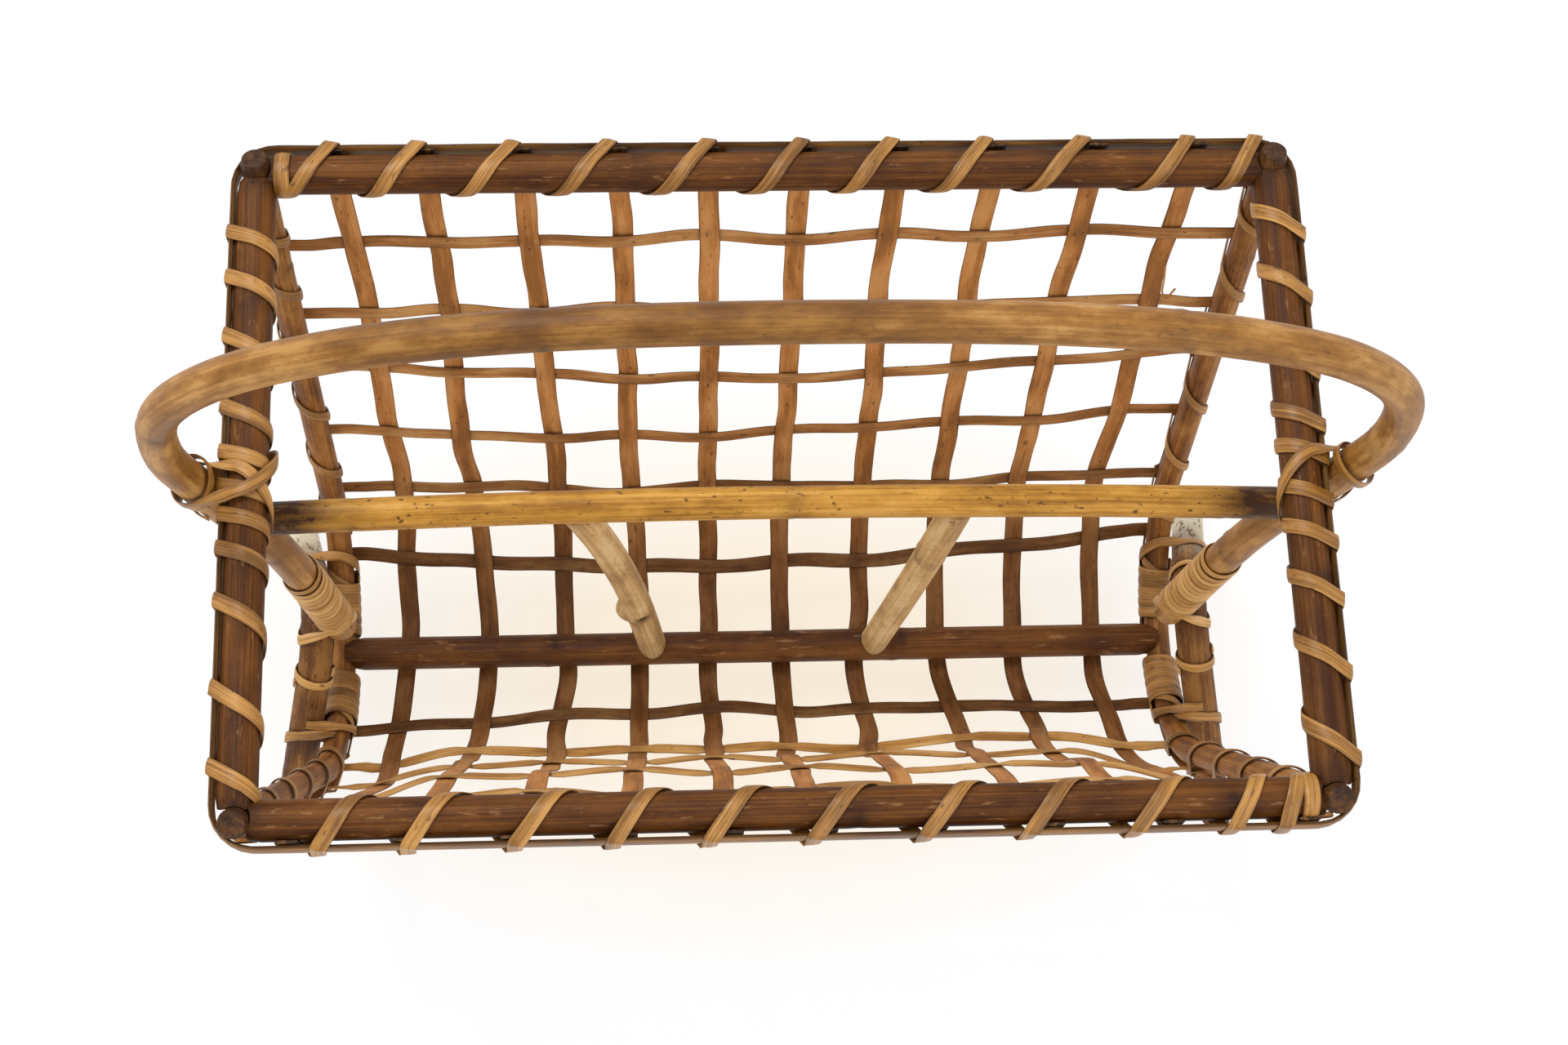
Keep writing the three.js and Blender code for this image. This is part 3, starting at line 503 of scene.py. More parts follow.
def bent_pole(run, radius, sides=32, step=3.0, joints=(), ends=(0.5, 0.5), cope=None, seed=1, burn=5.0,
              knot=None, lean=0.0):
    """A round pole on its run. Its ends lean, or are coped: hollowed to sit on a crossing pole.

    A cope is the crossing pole's radius, the way across it and the greatest depth.
    """
    bm = straight(run.length, sides, step)
    shape_pole(bm, run.length, radius, joints, ends, seed, burn)
    if knot:
        carve_knot(bm, *knot)
    keep_grain(bm, seed)
    for v in bm.verts:
        hollow = lean * v.co.y
        if cope:
            across, axis, most = cope
            off = v.co.x if axis == "x" else v.co.y
            hollow += min(across - math.sqrt(max(across ** 2 - off ** 2, 0.0)), most)
        near_end = 1 if v.co.z > run.length / 2 else -1
        from_end = min(v.co.z, run.length - v.co.z)
        v.co.z += near_end * hollow * (1 - ease(from_end / STRAIGHT_END))
    bend(bm, run)
    return bm


def pole(name, run, radius, look, **form):
    finish_piece(name, bent_pole(run, radius, **form), look)


def strip(name, run, width, thick, look, step=3.0, crown=0.25, shade_marks=(), seed=1, segments=12, nodes=None):
    """Split cane along its run: a crowned outer face, a flat inner one and rounded edges."""
    bm = straight(run.length, segments, step)
    stain_and_shade = bm.verts.layers.float.new("stain_and_shade")
    edge = bm.verts.layers.float.new("edge")
    shift = Vector((seed * 9.3, seed * 4.7, 0))
    for v in bm.verts:
        x, y, z = v.co
        wide = math.copysign(abs(x) ** 0.55, x)
        high = math.copysign(abs(y) ** 0.6, y)
        wave = noise.noise(Vector((0.5 * math.copysign(1, x), 0, z / 16)) + shift)
        half = width / 2 * (1 + 0.08 * wave)
        lift = crown * (1 - wide ** 2) - crown * 0.5 if y > 0 else 0
        v[edge] = abs(wide)
        # Painted shade at the listed places along the strip
        v[stain_and_shade] = min(max([0.0] + [near(z, place, reach) * amount for place, reach, amount in shade_marks]), 1.0)
        v.co = Vector((wide * half, high * thick / 2 + lift, z))
    keep_grain(bm, seed)
    bend(bm, run)
    finish_piece(name, bm, look, nodes, sharp=60)


# The poles

RAIL_JOINTS = {"front": (60, 215, 350), "back": (140, 300), "left": (190,), "right": (75,)}
LONG_RAIL_COPE, SIDE_RAIL_COPE, BAR_COPE, DIVIDER_COPE = 1.8, 1.5, 4.8, 9.0
HANDLE_SHARES, HANDLE_POWER = (0, 0.18, 0.38, 0.58, 0.78, 1), 2 / 2.5

# Where each strut's top and foot stand along the basket, how crooked it is, its joints and its knot
STRUTS = {"left": (-79.0, -47.0, 5.0, (), (134.0, 3.34)), "right": (72.0, 54.5, 1.0, (60,), None)}


def end_frames():
    top = TROUGH.length() + POST_RISE / math.sin(TROUGH.sweep)
    for number, (name, side) in enumerate(SIDES):
        pole(f"end_frame_{name}", beside_trough(side, top), FRAME_RADIUS, FRAME_POLE, sides=28,
             joints=(95, 330, 540), ends=(0.85, 0.85), burn=8.0, seed=2 + number)


def rail(name, tips, cope, **form):
    pole(f"rail_{name}", run_facing(UP, tips), RAIL_RADIUS, DARK_RATTAN, step=4, joints=RAIL_JOINTS[name],
         ends=(0.6, 0.6), cope=(FRAME_RADIUS + GAP, "x", cope), **form)


def rails():
    reach = RIM_HALF_WIDTH - FRAME_RADIUS - GAP
    for number, (name, side) in enumerate(HALVES):
        tips = [Vector((x, side * RIM_HALF_DEPTH, RIM_HEIGHT)) for x in (-reach, reach)]
        rail(name, tips, LONG_RAIL_COPE, seed=5 + number)
    reach = RIM_HALF_DEPTH - FRAME_RADIUS - 2 * GAP
    below = trough(TROUGH.length() - 30)[0]
    post_lean = (RIM_HALF_DEPTH - below.y) / (RIM_HEIGHT - below.z)
    for number, (name, side) in enumerate(SIDES):
        tips = [Vector((side * RIM_HALF_WIDTH, y, RIM_HEIGHT)) for y in (-reach, reach)]
        rail(name, tips, SIDE_RAIL_COPE, seed=8 + number, lean=post_lean)


def bottom_bar():
    reach = frame_x(BAR_HEIGHT) - FRAME_RADIUS - GAP
    run = run_facing(UP, [Vector((x, 0, BAR_HEIGHT)) for x in (-reach, reach)])
    pole("bottom_bar", run, BAR_RADIUS, DARK_RATTAN, step=4, joints=(90, 250), ends=(0.3, 0.3),
         cope=(FRAME_RADIUS + GAP, "y", BAR_COPE), seed=11)


def leg_x(z):
    return FOOT_HALF_WIDTH - LEG_LEAN * z


def find_leg_lean():
    """The leg crosses its end frame where both are as far from the middle of the frame's bend."""
    def inside_bend(s):
        point, _, _ = LEG.at(s)
        return math.hypot(point.y, -point.z - (RIM_HEIGHT - TROUGH_DEPTH + FRAME_BEND)) < FRAME_BEND

    crossing = last_inside(LEG.length(), inside_bend)
    z = -LEG.at(crossing)[0].z
    across = frame_x(z) + FRAME_RADIUS + LAYER + GAP + LEG_RADIUS
    return (FOOT_HALF_WIDTH - across) / z, crossing


LEG_LEAN, LEG_CROSSING = find_leg_lean()


def leg_place(side, way=1, start=0.0):
    def place(distance):
        point, out, along = LEG.at(way * (start + distance))
        spot = Vector((side * leg_x(-point.z), point.y, -point.z))
        out = Vector((0, out.y, -out.z))
        along = Vector((side * LEG_LEAN * along.z, along.y, -along.z)).normalized()
        return spot, out, along.cross(out)
    return place


def leg_hoops():
    """The legs are made too long and cut off level at the floor."""
    end = LEG.length() + 2 * LEG_RADIUS
    for number, (name, side) in enumerate(SIDES):
        run = Run([leg_place(side)(s)[:2] for s in steps(-end, end, 2.5)])
        bm = bent_pole(run, LEG_RADIUS, step=2.5, joints=(52, 128), ends=(0, 0), seed=13 + number)
        cut = bmesh.ops.bisect_plane(bm, geom=[*bm.verts, *bm.edges, *bm.faces], plane_co=(0, 0, 0),
                                     plane_no=(0, 0, 1), clear_inner=True)
        rims = [e for e in cut["geom_cut"] if isinstance(e, bmesh.types.BMEdge)]
        bmesh.ops.edgeloop_fill(bm, edges=rims)
        finish_piece(f"leg_hoop_{name}", bm, LEG_RATTAN)


def handle_line():
    """From the left leg over the basket to the right one: the right half, and its mirror image."""
    reach = LEG_RADIUS + GAP + HANDLE_RADIUS
    crown_x = leg_x(LEG_CROWN)
    seat = Vector((crown_x - reach * math.cos(HANDLE_SEAT_ANGLE), 0,
                   LEG_CROWN + reach * math.sin(HANDLE_SEAT_ANGLE)))
    waist = Vector((HANDLE_WAIST, 0, RIM_HEIGHT - HANDLE_WAIST_DROP))
    down = (seat - waist).normalized()
    points = [seat + down * HANDLE_RADIUS, seat, waist, Vector((HANDLE_RIM, 0, RIM_HEIGHT))]
    for share in HANDLE_SHARES:
        angle = share * math.pi / 2
        x = HANDLE_HALF_WIDTH * max(math.cos(angle), 0) ** HANDLE_POWER
        z = HANDLE_SHOULDER + (HANDLE_RISE - HANDLE_SHOULDER) * math.sin(angle) ** HANDLE_POWER
        points.append(Vector((x, 0, RIM_HEIGHT + z)))
    return spline([Vector((-p.x, p.y, p.z)) for p in points[:-1]] + points[::-1])


HANDLE_RUN = run_facing(BACKWARDS, handle_line())
RIM_RUN = last_inside(HANDLE_RUN.length / 4, lambda along: HANDLE_RUN.at(along)[0].z < RIM_HEIGHT)


def handle():
    pole("handle", HANDLE_RUN, HANDLE_RADIUS, HANDLE_RATTAN, joints=(118, 262, 430, 640, 800, 930),
         ends=(0.2, 0.2), seed=17)


def divider_z(x):
    return DIVIDER_HEIGHT + DIVIDER_BOW * (1 - (x / DIVIDER_END) ** 2)


def divider():
    reach = DIVIDER_END - HANDLE_RADIUS - GAP
    run = run_facing(UP, [Vector((x, 0, divider_z(x))) for x in steps(-reach, reach, 4)])
    # Its ends are dark with stains, and with painted shade where they sit under the rails
    pole("divider_bar", run, DIVIDER_RADIUS, HONEY_RATTAN, joints=(34, 205, 376), ends=(1.5, 1.3),
         cope=(HANDLE_RADIUS + GAP, "x", DIVIDER_COPE), seed=19, burn=22.0)
    for number, (name, (top_x, foot_x, crook, joints, knot)) in enumerate(STRUTS.items()):
        top = Vector((top_x, 0, divider_z(top_x)))
        foot = Vector((foot_x, 0, BAR_HEIGHT))
        points = []
        for share in steps(0, 1, 0.03):
            point = top.lerp(foot, share)
            point.x += crook * math.sin(math.pi * share ** 0.8)
            points.append(point)
        line = run_facing(BACKWARDS, points)
        start, end = DIVIDER_RADIUS + GAP, line.length - BAR_RADIUS - GAP
        run = run_facing(BACKWARDS, [line.at(d)[0] for d in steps(start, end, 4)])
        pole(f"divider_strut_{name}", run, STRUT_RADIUS, GREY_RATTAN, sides=36, step=1.6, joints=joints,
             ends=(0.3, 0.3), cope=(DIVIDER_RADIUS + GAP, "y", DIVIDER_COPE), seed=21 + number, knot=knot)


# The weave

# How far each warp has strayed along the basket, at lengths round the trough from front to back
WARP_SWAY = {-250: (0, 0, 0, 0, -2, -8, -8, -5, -2, 8), -88: (-3, -3, -1, -1, -3, -7, -6, 1, 0, 7),
             -46: (-6, -3, -3, -1, -3, -4, -3, 4, 4, 5), -9: (-3, -1, 1, -1, -4, -5, -6, -2, -1, 2),
             23: (-2, -1, 0, 0, -3, -5, -3, -2, 0, 1), 105: (3, -3, 1, -2, -3, -5, -4, -4, -4, -3),
             250: (10, 5, 3, 1, -3, -7, -9, -10, -10, -10)}

# How far each weft, from the front one, has slid round the trough at its left end, middle and right end
WEFT_DRIFT = ((0, 0, 0), (0, 0, 0), (0, -4, -2), (20, 18, 21), (16, 14, 19), (6, 11, 10), (0, 0, 0),
              (5, 0, 10), (3, 0, 5), (2, -3, 8), (4, -3, 8), (1, 0, 2), (2, 3, 5))

# Places on the torn fibre: how far round the trough, beyond the last warp's edge and inside the weave
FIBRE_PLACES = ((234, -0.5, 0.4), (226, 0.3, 0.8), (218, 0.7, 1.4), (215, 2.4, 1.7), (221, 5.8, 1.5))

BULGE, FRONT_SLACK = 3.0, 9.5
FRONT_WEFTS, FRONT_TILT = 5, 0.32
WARP_WAVER, WEFT_WAVER = 1.3, 2.6
CROSSING_MARGIN = 0.8
# Painted shade where warps and wefts cross: how far it reaches, and how dark
CROSSING_SHADE = (5.5, 0.2)
# Painted shade at the warps' ends, in the gap between rail and rim strip: how far it reaches, and how dark
WARP_END_SHADE = (16, 1.0)
RIM_CORNER = 16.0


def over_under(warp, weft):
    return 1 if (warp + weft) % 2 else -1


def warp_x(warp, s):
    """Where along the basket a warp lies. They gather towards the floor and are not set out quite evenly."""
    height = trough(s, WEAVE_OFFSET)[0].z
    pitch = 2 * WARP_HALF_SPAN / (WARPS - 1)
    even = (-WARP_HALF_SPAN + pitch * warp) * (1 - WARP_GATHER * (RIM_HEIGHT - height) / TROUGH_DEPTH)
    marks = sorted(WARP_SWAY)
    low, high = next(pair for pair in zip(marks, marks[1:]) if s <= pair[1] or pair[1] == marks[-1])
    share = ease((s - low) / (high - low))
    sway = WARP_SWAY[low][warp] * (1 - share) + WARP_SWAY[high][warp] * share
    return even + sway + WARP_WAVER * noise.noise(Vector((s / 30, warp * 5.3, 0)))


def weft_s(weft, x=0.0):
    """Where round the trough a weft lies at a place along the basket."""
    left, middle, right = WEFT_DRIFT[weft]
    part = min(max(x / 150, -1.2), 1.2)
    drift = middle + (right - left) / 2 * part + ((left + right) / 2 - middle) * part ** 2
    waver = WEFT_WAVER * noise.noise(Vector((x / 42, weft * 3.7, 9)))
    return (weft - (WEFTS - 1) / 2) * WEFT_PITCH + drift + waver


def bulge(x, s):
    """How far the whole weave stands out, or in with a minus. Frames, rim and bar hold it."""
    top = TROUGH.length()
    held = ease((172 - abs(x)) / 30) * ease((top - 15 - abs(s)) / 40) * ease((abs(s) - 8) / 45)
    drawn_in = FRONT_SLACK * ease((178 - abs(x)) / 45) * ease((-s - 20) / 60) * ease((top + s - 20) / 110)
    return BULGE * held * noise.noise(Vector((x / 60, s / 50, 3))) - drawn_in


def weave(place, crossings, flat):
    """How far a strip lies above or below the middle of the weave: flat at a crossing, eased between two."""
    for (start, low), (end, high) in zip(crossings, crossings[1:]):
        if start <= place <= end:
            return low + (high - low) * ease((place - start - flat) / max(end - start - 2 * flat, 0.1))
    return crossings[0][1] if place < crossings[0][0] else crossings[-1][1]


def warps():
    top = TROUGH.length(WEAVE_OFFSET) - 1.4 * RAIL_RADIUS
    rim_y = RIM_HALF_DEPTH + RAIL_RADIUS + GAP + WARP_THICK / 2
    for warp in range(WARPS):
        crossings = [(weft_s(weft, warp_x(warp, weft_s(weft))), WAVE * over_under(warp, weft))
                     for weft in range(WEFTS)]
        crossings = [(-top, 0.0), *crossings, (top, 0.0)]
        stations = []
        for s in steps(-top, top, 2.5):
            x = warp_x(warp, s)
            point, out, _ = trough(s, WEAVE_OFFSET)
            lift = weave(s, crossings, WEFT_WIDE / 2 + CROSSING_MARGIN) + bulge(x, s)
            stations.append((Vector((x, 0, 0)) + point + out * lift, out))
        for side in (-1, 1):
            ends = [(Vector((warp_x(warp, side * top), side * rim_y, RIM_HEIGHT + up)), Vector((0, side, 0)))
                    for up in (-RAIL_RADIUS / 2, STRIP_HIGH / 2)]
            stations = stations + ends if side > 0 else ends[::-1] + stations
        run = Run(stations)
        # Painted shade at each crossing, and at both ends under the rim
        shade_marks = [(run.length / 2 + s, *CROSSING_SHADE) for s, _ in crossings[1:-1]]
        shade_marks += [(0, *WARP_END_SHADE), (run.length, *WARP_END_SHADE)]
        strip(f"warp_{warp + 1}", run, WARP_WIDE, WARP_THICK, WARP_CANE, shade_marks=shade_marks, seed=30 + warp,
              crown=0.2)


def wefts():
    """The front wefts are a lighter copy of the weft cane, painted light for their lit edges, and lean back
    between the warps that hold them.
    """
    for weft in range(WEFTS):
        in_front = weft < FRONT_WEFTS
        middle_s = weft_s(weft)
        half_x = frame_x(trough(middle_s)[0].z)
        end_x = half_x + END_STRIP_WIDE / 2
        seat_x = half_x - FRAME_RADIUS - 1.2
        crossings = [(-end_x, WEFT_END_OFFSET), (-seat_x, WEFT_END_OFFSET)]
        crossings += [(warp_x(w, middle_s), WEAVE_OFFSET - WAVE * over_under(w, weft)) for w in range(WARPS)]
        crossings += [(seat_x, WEFT_END_OFFSET), (end_x, WEFT_END_OFFSET)]
        stations = []
        for x in steps(-end_x, end_x, 3):
            s = weft_s(weft, x)
            flat = WARP_WIDE / 2 + CROSSING_MARGIN if abs(x) < seat_x else 0.1
            offset = weave(x, crossings, flat) + bulge(x, s)
            surface, out, _ = trough(s, WEAVE_OFFSET)
            free = min(abs(x - place) for place, _ in crossings)
            tilt = (FRONT_TILT if in_front else 0.0) * ease((free - 3.4) / 3.2)
            facing = (out + Vector((0, 0, -tilt))).normalized()
            stations.append((surface + out * (offset - WEAVE_OFFSET) + Vector((x, 0, 0)), facing))
        # Painted shade at each crossing
        shade_marks = [(x + end_x, *CROSSING_SHADE) for x, _ in crossings[2:-2]]
        strip(f"weft_{weft + 1}", Run(stations), WEFT_WIDE, WEFT_THICK, LIT_WEFT if in_front else WEFT_CANE,
              shade_marks=shade_marks, seed=50 + weft, crown=0.2)


def loose_fibre():
    """A torn fibre that hangs from the edge of the last warp."""
    points = []
    for s, beyond, inwards in FIBRE_PLACES:
        point, out, _ = trough(s, WEAVE_OFFSET)
        points.append(point - out * inwards + Vector((warp_x(WARPS - 1, s) + WARP_WIDE / 2 + beyond, 0, 0)))
    run = run_facing(Vector((0, -0.5, 1)), spline(points))
    strip("loose_fibre", run, 0.9, 0.3, WARP_CANE, step=0.8, seed=77, crown=0.05, segments=8, nodes=[])


def end_strips():
    top = TROUGH.length(END_STRIP_OFFSET) - 1.6 * RAIL_RADIUS
    for number, (name, side) in enumerate(SIDES):
        run = beside_trough(side, top, END_STRIP_OFFSET)
        strip(f"end_strip_{name}", run, END_STRIP_WIDE, END_STRIP_THICK, WARP_CANE, seed=70 + number)


def rim_strip():
    """A hoop of cane outside the rails, its ends butted in the middle of the right side."""
    half_x = RIM_HALF_WIDTH + SIDE_REACH - STRIP_THICK / 2
    half_y = RIM_HALF_DEPTH + FRONT_REACH - STRIP_THICK / 2
    stations = []
    for quarter in range(4):
        turn = Matrix.Rotation(quarter * math.pi / 2, 3, "Z")
        far, wide = (half_x, half_y) if quarter % 2 == 0 else (half_y, half_x)
        for y in steps(-(wide - RIM_CORNER), wide - RIM_CORNER, 6):
            stations.append((turn @ Vector((far, y, RIM_HEIGHT)), turn @ Vector((1, 0, 0))))
        for angle in steps(0, math.pi / 2, 0.12)[1:-1]:
            out = Vector((math.cos(angle), math.sin(angle), 0))
            centre = Vector((far - RIM_CORNER, wide - RIM_CORNER, RIM_HEIGHT))
            stations.append((turn @ (centre + out * RIM_CORNER), turn @ out))
    run = Run(stations + [(stations[0][0] - Vector((0, 0.3, 0)), stations[0][1])])
    strip("rim_strip", run, STRIP_HIGH, STRIP_THICK, SHADED_RIM_CANE, seed=75, step=4)


# Bindings of flat cane

# Where the cane passes over the top of each rail, from the rail's middle
RAIL_TOPS = {"front": (-161, -129, -90, -56, -21, 17, 57, 94, 133, 166, 182),
             "right": (-107, -75, -48, -27, -11, 6, 19, 43, 75, 101),
             "back": (-186, -158, -114, -77, -40, -5, 32, 71, 108, 144, 177),
             "left": (-97, -78, -53, -25, -9, 4, 15, 29, 51, 85, 113)}
CORNER_TOPS = (187.5, 188.5)

# Where the cane passes the outside of each half of an end frame, from the bottom of the trough
FRAME_PASSES = {("back", "left"): (22, 61, 100, 141, 182, 222, 257, 284),
                ("back", "right"): (20, 58, 96, 137, 179, 213, 256, 284),
                ("front", "left"): (19, 58, 99, 141, 185, 226, 262, 286),
                ("front", "right"): (23, 64, 105, 148, 187, 229, 264, 286)}
WRAP_START, WRAP_STOP, WRAP_PITCH = 12.0, 8.5, 4.9

# Where the close turns begin on the handle, from its end, and from one turn to the next
HANDLE_START = 13.6
HANDLE_PITCHES = (4.5, 4.7, 4.4, 4.8, 4.6, 5.0, 4.5, 4.8, 4.4, 5.2, 4.7, 4.9, 5.6, 7.5)
CROWN_PASSES = (19.0, 24.0)

RAIL_CANE_WIDE, CORNER_CANE_WIDE, FRAME_CANE_WIDE, WRAP_CANE_WIDE = 5.8, 5.0, 4.6, 5.4
HANDLE_CANE_WIDE, CROWN_CANE_WIDE = 4.5, 4.4

# Lashings: how far a turn moves on, and how wide its cane is
RIM_TIE, LEG_TIE = (4.0, 5.0), (4.6, 4.6)

TURN_STEP = 1 / 60
STRIP_BACK = END_STRIP_OFFSET + END_STRIP_THICK / 2
NEARBY = (-45, 45)


def ring(radius):
    angles = [2 * math.pi * k / 48 for k in range(48)]
    return [(radius * math.cos(angle), radius * math.sin(angle)) for angle in angles]


FRAME_OUTLINE = ring(FRAME_RADIUS) + [(STRIP_BACK, END_STRIP_WIDE / 2), (STRIP_BACK, -END_STRIP_WIDE / 2)]


def loop_round(outline):
    """The closed line that cane follows round an outline: how far round, the spot, and which way it faces."""
    marks, far, lift = [], 0.0, GAP + CANE_THICK / 2
    for k in range(145):
        facing = math.pi * k / 72
        cos, sin = math.cos(facing), math.sin(facing)
        x, y = max(outline, key=lambda p: p[0] * cos + p[1] * sin)
        spot = Vector((x + lift * cos, y + lift * sin))
        far += (spot - marks[-1][1]).length if marks else 0.0
        marks.append((far, spot, facing))
    return marks


def round_at(marks, share):
    far = share % 1 * marks[-1][0]
    high = next(k for k, mark in enumerate(marks) if k and mark[0] >= far)
    (start, spot, facing), (end, next_spot, next_facing) = marks[high - 1], marks[high]
    part = (far - start) / max(end - start, 1e-6)
    return spot.lerp(next_spot, part), facing + (next_facing - facing) * part


def smooth_at(values, place):
    """A smooth reading between listed values, straight on beyond the last ones."""
    low = min(max(math.floor(place), 0), len(values) - 2)
    a, b = values[low], values[low + 1]
    t = place - low
    if t < 0 or t > 1:
        return a + (b - a) * t
    leave = (b - values[low - 1]) / 2 if low else b - a
    arrive = (values[low + 2] - a) / 2 if low + 2 < len(values) else b - a
    return cubic(a, b, leave, arrive, t)


def winding(name, outline, place, passes, width, look, phase=0.0, lead=0.0, crown=0.3, **form):
    """Cane wound round an outline. It faces the phase at each pass and runs on a little at both ends."""
    marks = loop_round(outline)
    first = next(far for far, _, facing in marks if facing >= phase) / marks[-1][0]
    stations = []
    for turn in steps(-lead, len(passes) - 1 + lead, TURN_STEP):
        spot, facing = round_at(marks, first + turn)
        origin, normal, binormal = place(smooth_at(passes, turn))
        stations.append((origin + normal * spot.x + binormal * spot.y,
                         normal * math.cos(facing) + binormal * math.sin(facing)))
    strip(name, Run(stations), width, CANE_THICK, look, step=1.3, crown=crown, **form)


def rail_place(normal, far):
    along = Vector((-normal.y, normal.x, 0))
    middle = normal * far + Vector((0, 0, RIM_HEIGHT))
    return lambda distance: (middle + along * distance, normal, UP)


def rail_bindings():
    """Seen from above the cane goes round the rim anticlockwise, over each rail from outside to inside."""
    rails_here = [(name, Vector((0, side, 0)), RIM_HALF_DEPTH, FRONT_REACH) for name, side in HALVES]
    rails_here += [(name, Vector((side, 0, 0)), RIM_HALF_WIDTH, SIDE_REACH) for name, side in SIDES]
    for number, (name, normal, far, reach) in enumerate(rails_here):
        outline = ring(RAIL_RADIUS) + [(reach, STRIP_HIGH / 2), (reach, -STRIP_HIGH / 2)]
        winding(f"rail_binding_{name}", outline, rail_place(normal, far), RAIL_TOPS[name], RAIL_CANE_WIDE,
                GOLDEN_CANE, math.pi / 2, 0.45, seed=80 + number)
    for name, side in HALVES:
        place = rail_place(Vector((0, side, 0)), RIM_HALF_DEPTH)
        winding(f"corner_binding_{name}", ring(RAIL_RADIUS), place, CORNER_TOPS, CORNER_CANE_WIDE,
                GOLDEN_CANE, math.pi / 2, 0.3, seed=86 + side, nodes=[])


def swollen(outline):
    """What the outline becomes with one layer of cane round it."""
    more = LAYER - GAP - CANE_THICK / 2
    return [(spot.x + more * math.cos(facing), spot.y + more * math.sin(facing))
            for _, spot, facing in loop_round(outline)]


def frame_place(side, way, start=0.0):
    def place(distance):
        point, out, _ = trough(way * (start + distance), WEAVE_OFFSET)
        origin = point - out * WEAVE_OFFSET
        origin.x = side * frame_x(point.z)
        return origin, out, Vector((way, 0, 0))
    return place


def frame_bindings():
    for name, side in SIDES:
        for half, way in HALVES:
            winding(f"frame_binding_{half}_{name}", FRAME_OUTLINE, frame_place(side, way),
                    FRAME_PASSES[half, name], FRAME_CANE_WIDE, FRAME_CANE, seed=90 + 2 * side + way)


def handle_place(side, start=0.0):
    def place(distance):
        along = start + distance
        along = along if side < 0 else HANDLE_RUN.length - along
        origin = HANDLE_RUN.at(along)[0]
        axis = heading(HANDLE_RUN.at, along) * -side
        return origin, BACKWARDS, axis.cross(BACKWARDS)
    return place


def handle_bindings():
    for name, side in SIDES:
        passes = [HANDLE_START]
        for pitch in HANDLE_PITCHES:
            passes.append(passes[-1] + pitch)
        winding(f"handle_binding_{name}", ring(HANDLE_RADIUS), handle_place(side), passes, HANDLE_CANE_WIDE,
                PALE_CANE, crown=0.5, seed=96 + side)


def heading(place, mark=0, half=0.5):
    return (place(mark + half)[0] - place(mark - half)[0]).normalized()


def touch(pole, middle, axis, along, facing):
    """The spot of a pole's surface that is farthest out in a plane square to the axis, and its way out."""
    place, radius, (low, high) = pole
    mark = 0.0
    for _ in range(4):
        centre = place(mark)[0]
        way = heading(place, mark)
        slope = way.dot(axis)
        out = (facing - axis * (facing.dot(way) / slope)).normalized()
        rest = (along - (centre + out * radius - middle).dot(axis)) / slope
        held = min(max(mark + rest, low), high)
        rest, mark = held - mark, held
    return centre + out * radius + way * rest, out


def lashing(name, middle, depth, axis, poles, tie, look, start=0.0, layer=0.0, hand=1, **form):
    """Cane drawn tight round crossing poles, in one turn square to the axis that moves on by its pitch."""
    pitch, width = tie
    axis = axis.normalized()
    depth = (depth - axis * depth.dot(axis)).normalized()
    across = axis.cross(depth) * hand
    lift = GAP + CANE_THICK / 2 + layer
    raised = [(place, radius + lift, limits) for place, radius, limits in poles]
    stations = []
    for turn in steps(0, 1, TURN_STEP):
        angle = start + 2 * math.pi * turn
        facing = depth * math.cos(angle) + across * math.sin(angle)
        spots = [touch(pole, middle, axis, pitch * (turn - 0.5), facing) for pole in raised]
        spot, out = max(spots, key=lambda found: found[0].dot(facing))
        if stations:
            before, from_out = stations[-1]
            for share in steps(0, 1, 2.0 / max((spot - before).length, 2.0))[1:-1]:
                stations.append((before.lerp(spot, share), from_out.lerp(out, share).normalized()))
        stations.append((spot, out))
    strip(name, Run(stations), width, CANE_THICK, look, step=1.2, **form)


def strip_edges(place, reach, wide, thick, across):
    """The two edges of a strip, as thin poles for a lashing to pass over."""
    def edge(shift):
        def at(distance):
            origin, out, _ = place(distance)
            return (origin + out * (reach - thick / 2) + across * shift,)
        return at, thick / 2 + LAYER, NEARBY

    half = wide / 2 - thick / 2
    return [edge(half), edge(-half)]


def handle_lashings(name, side):
    """Where the handle passes the rim: a tie, crossed on the left, and a ring round the handle alone."""
    outwards = Vector((side, 0, 0))
    on_rail, on_handle = rail_place(outwards, RIM_HALF_WIDTH), handle_place(side, RIM_RUN)
    poles = [(on_rail, RAIL_RADIUS + LAYER, NEARBY), (on_handle, HANDLE_RADIUS, NEARBY)]
    poles += strip_edges(on_rail, SIDE_REACH, STRIP_HIGH, STRIP_THICK, UP)
    middle = on_rail(0)[0].lerp(on_handle(0)[0], 0.5)
    lashing(f"handle_lashing_{name}", middle, outwards, Vector((side * 0.6, -1.1, 1)), poles, RIM_TIE,
            GOLDEN_CANE, start=-math.pi / 2, hand=side, seed=100 + side)
    if side < 0:
        lashing(f"handle_cross_lashing_{name}", middle, outwards, Vector((side * 0.6, 1.1, 1)), poles,
                RIM_TIE, GOLDEN_CANE, start=math.pi / 2, layer=LAYER, hand=side, seed=102 + side, nodes=[])
    tilted = Vector((side * 0.9, 0.25 * side, 1))
    lashing(f"handle_ring_{name}", on_handle(5)[0], outwards, tilted, poles[1:2], RIM_TIE, GOLDEN_CANE,
            start=math.pi / 2, layer=LAYER, seed=104 + side, nodes=[])


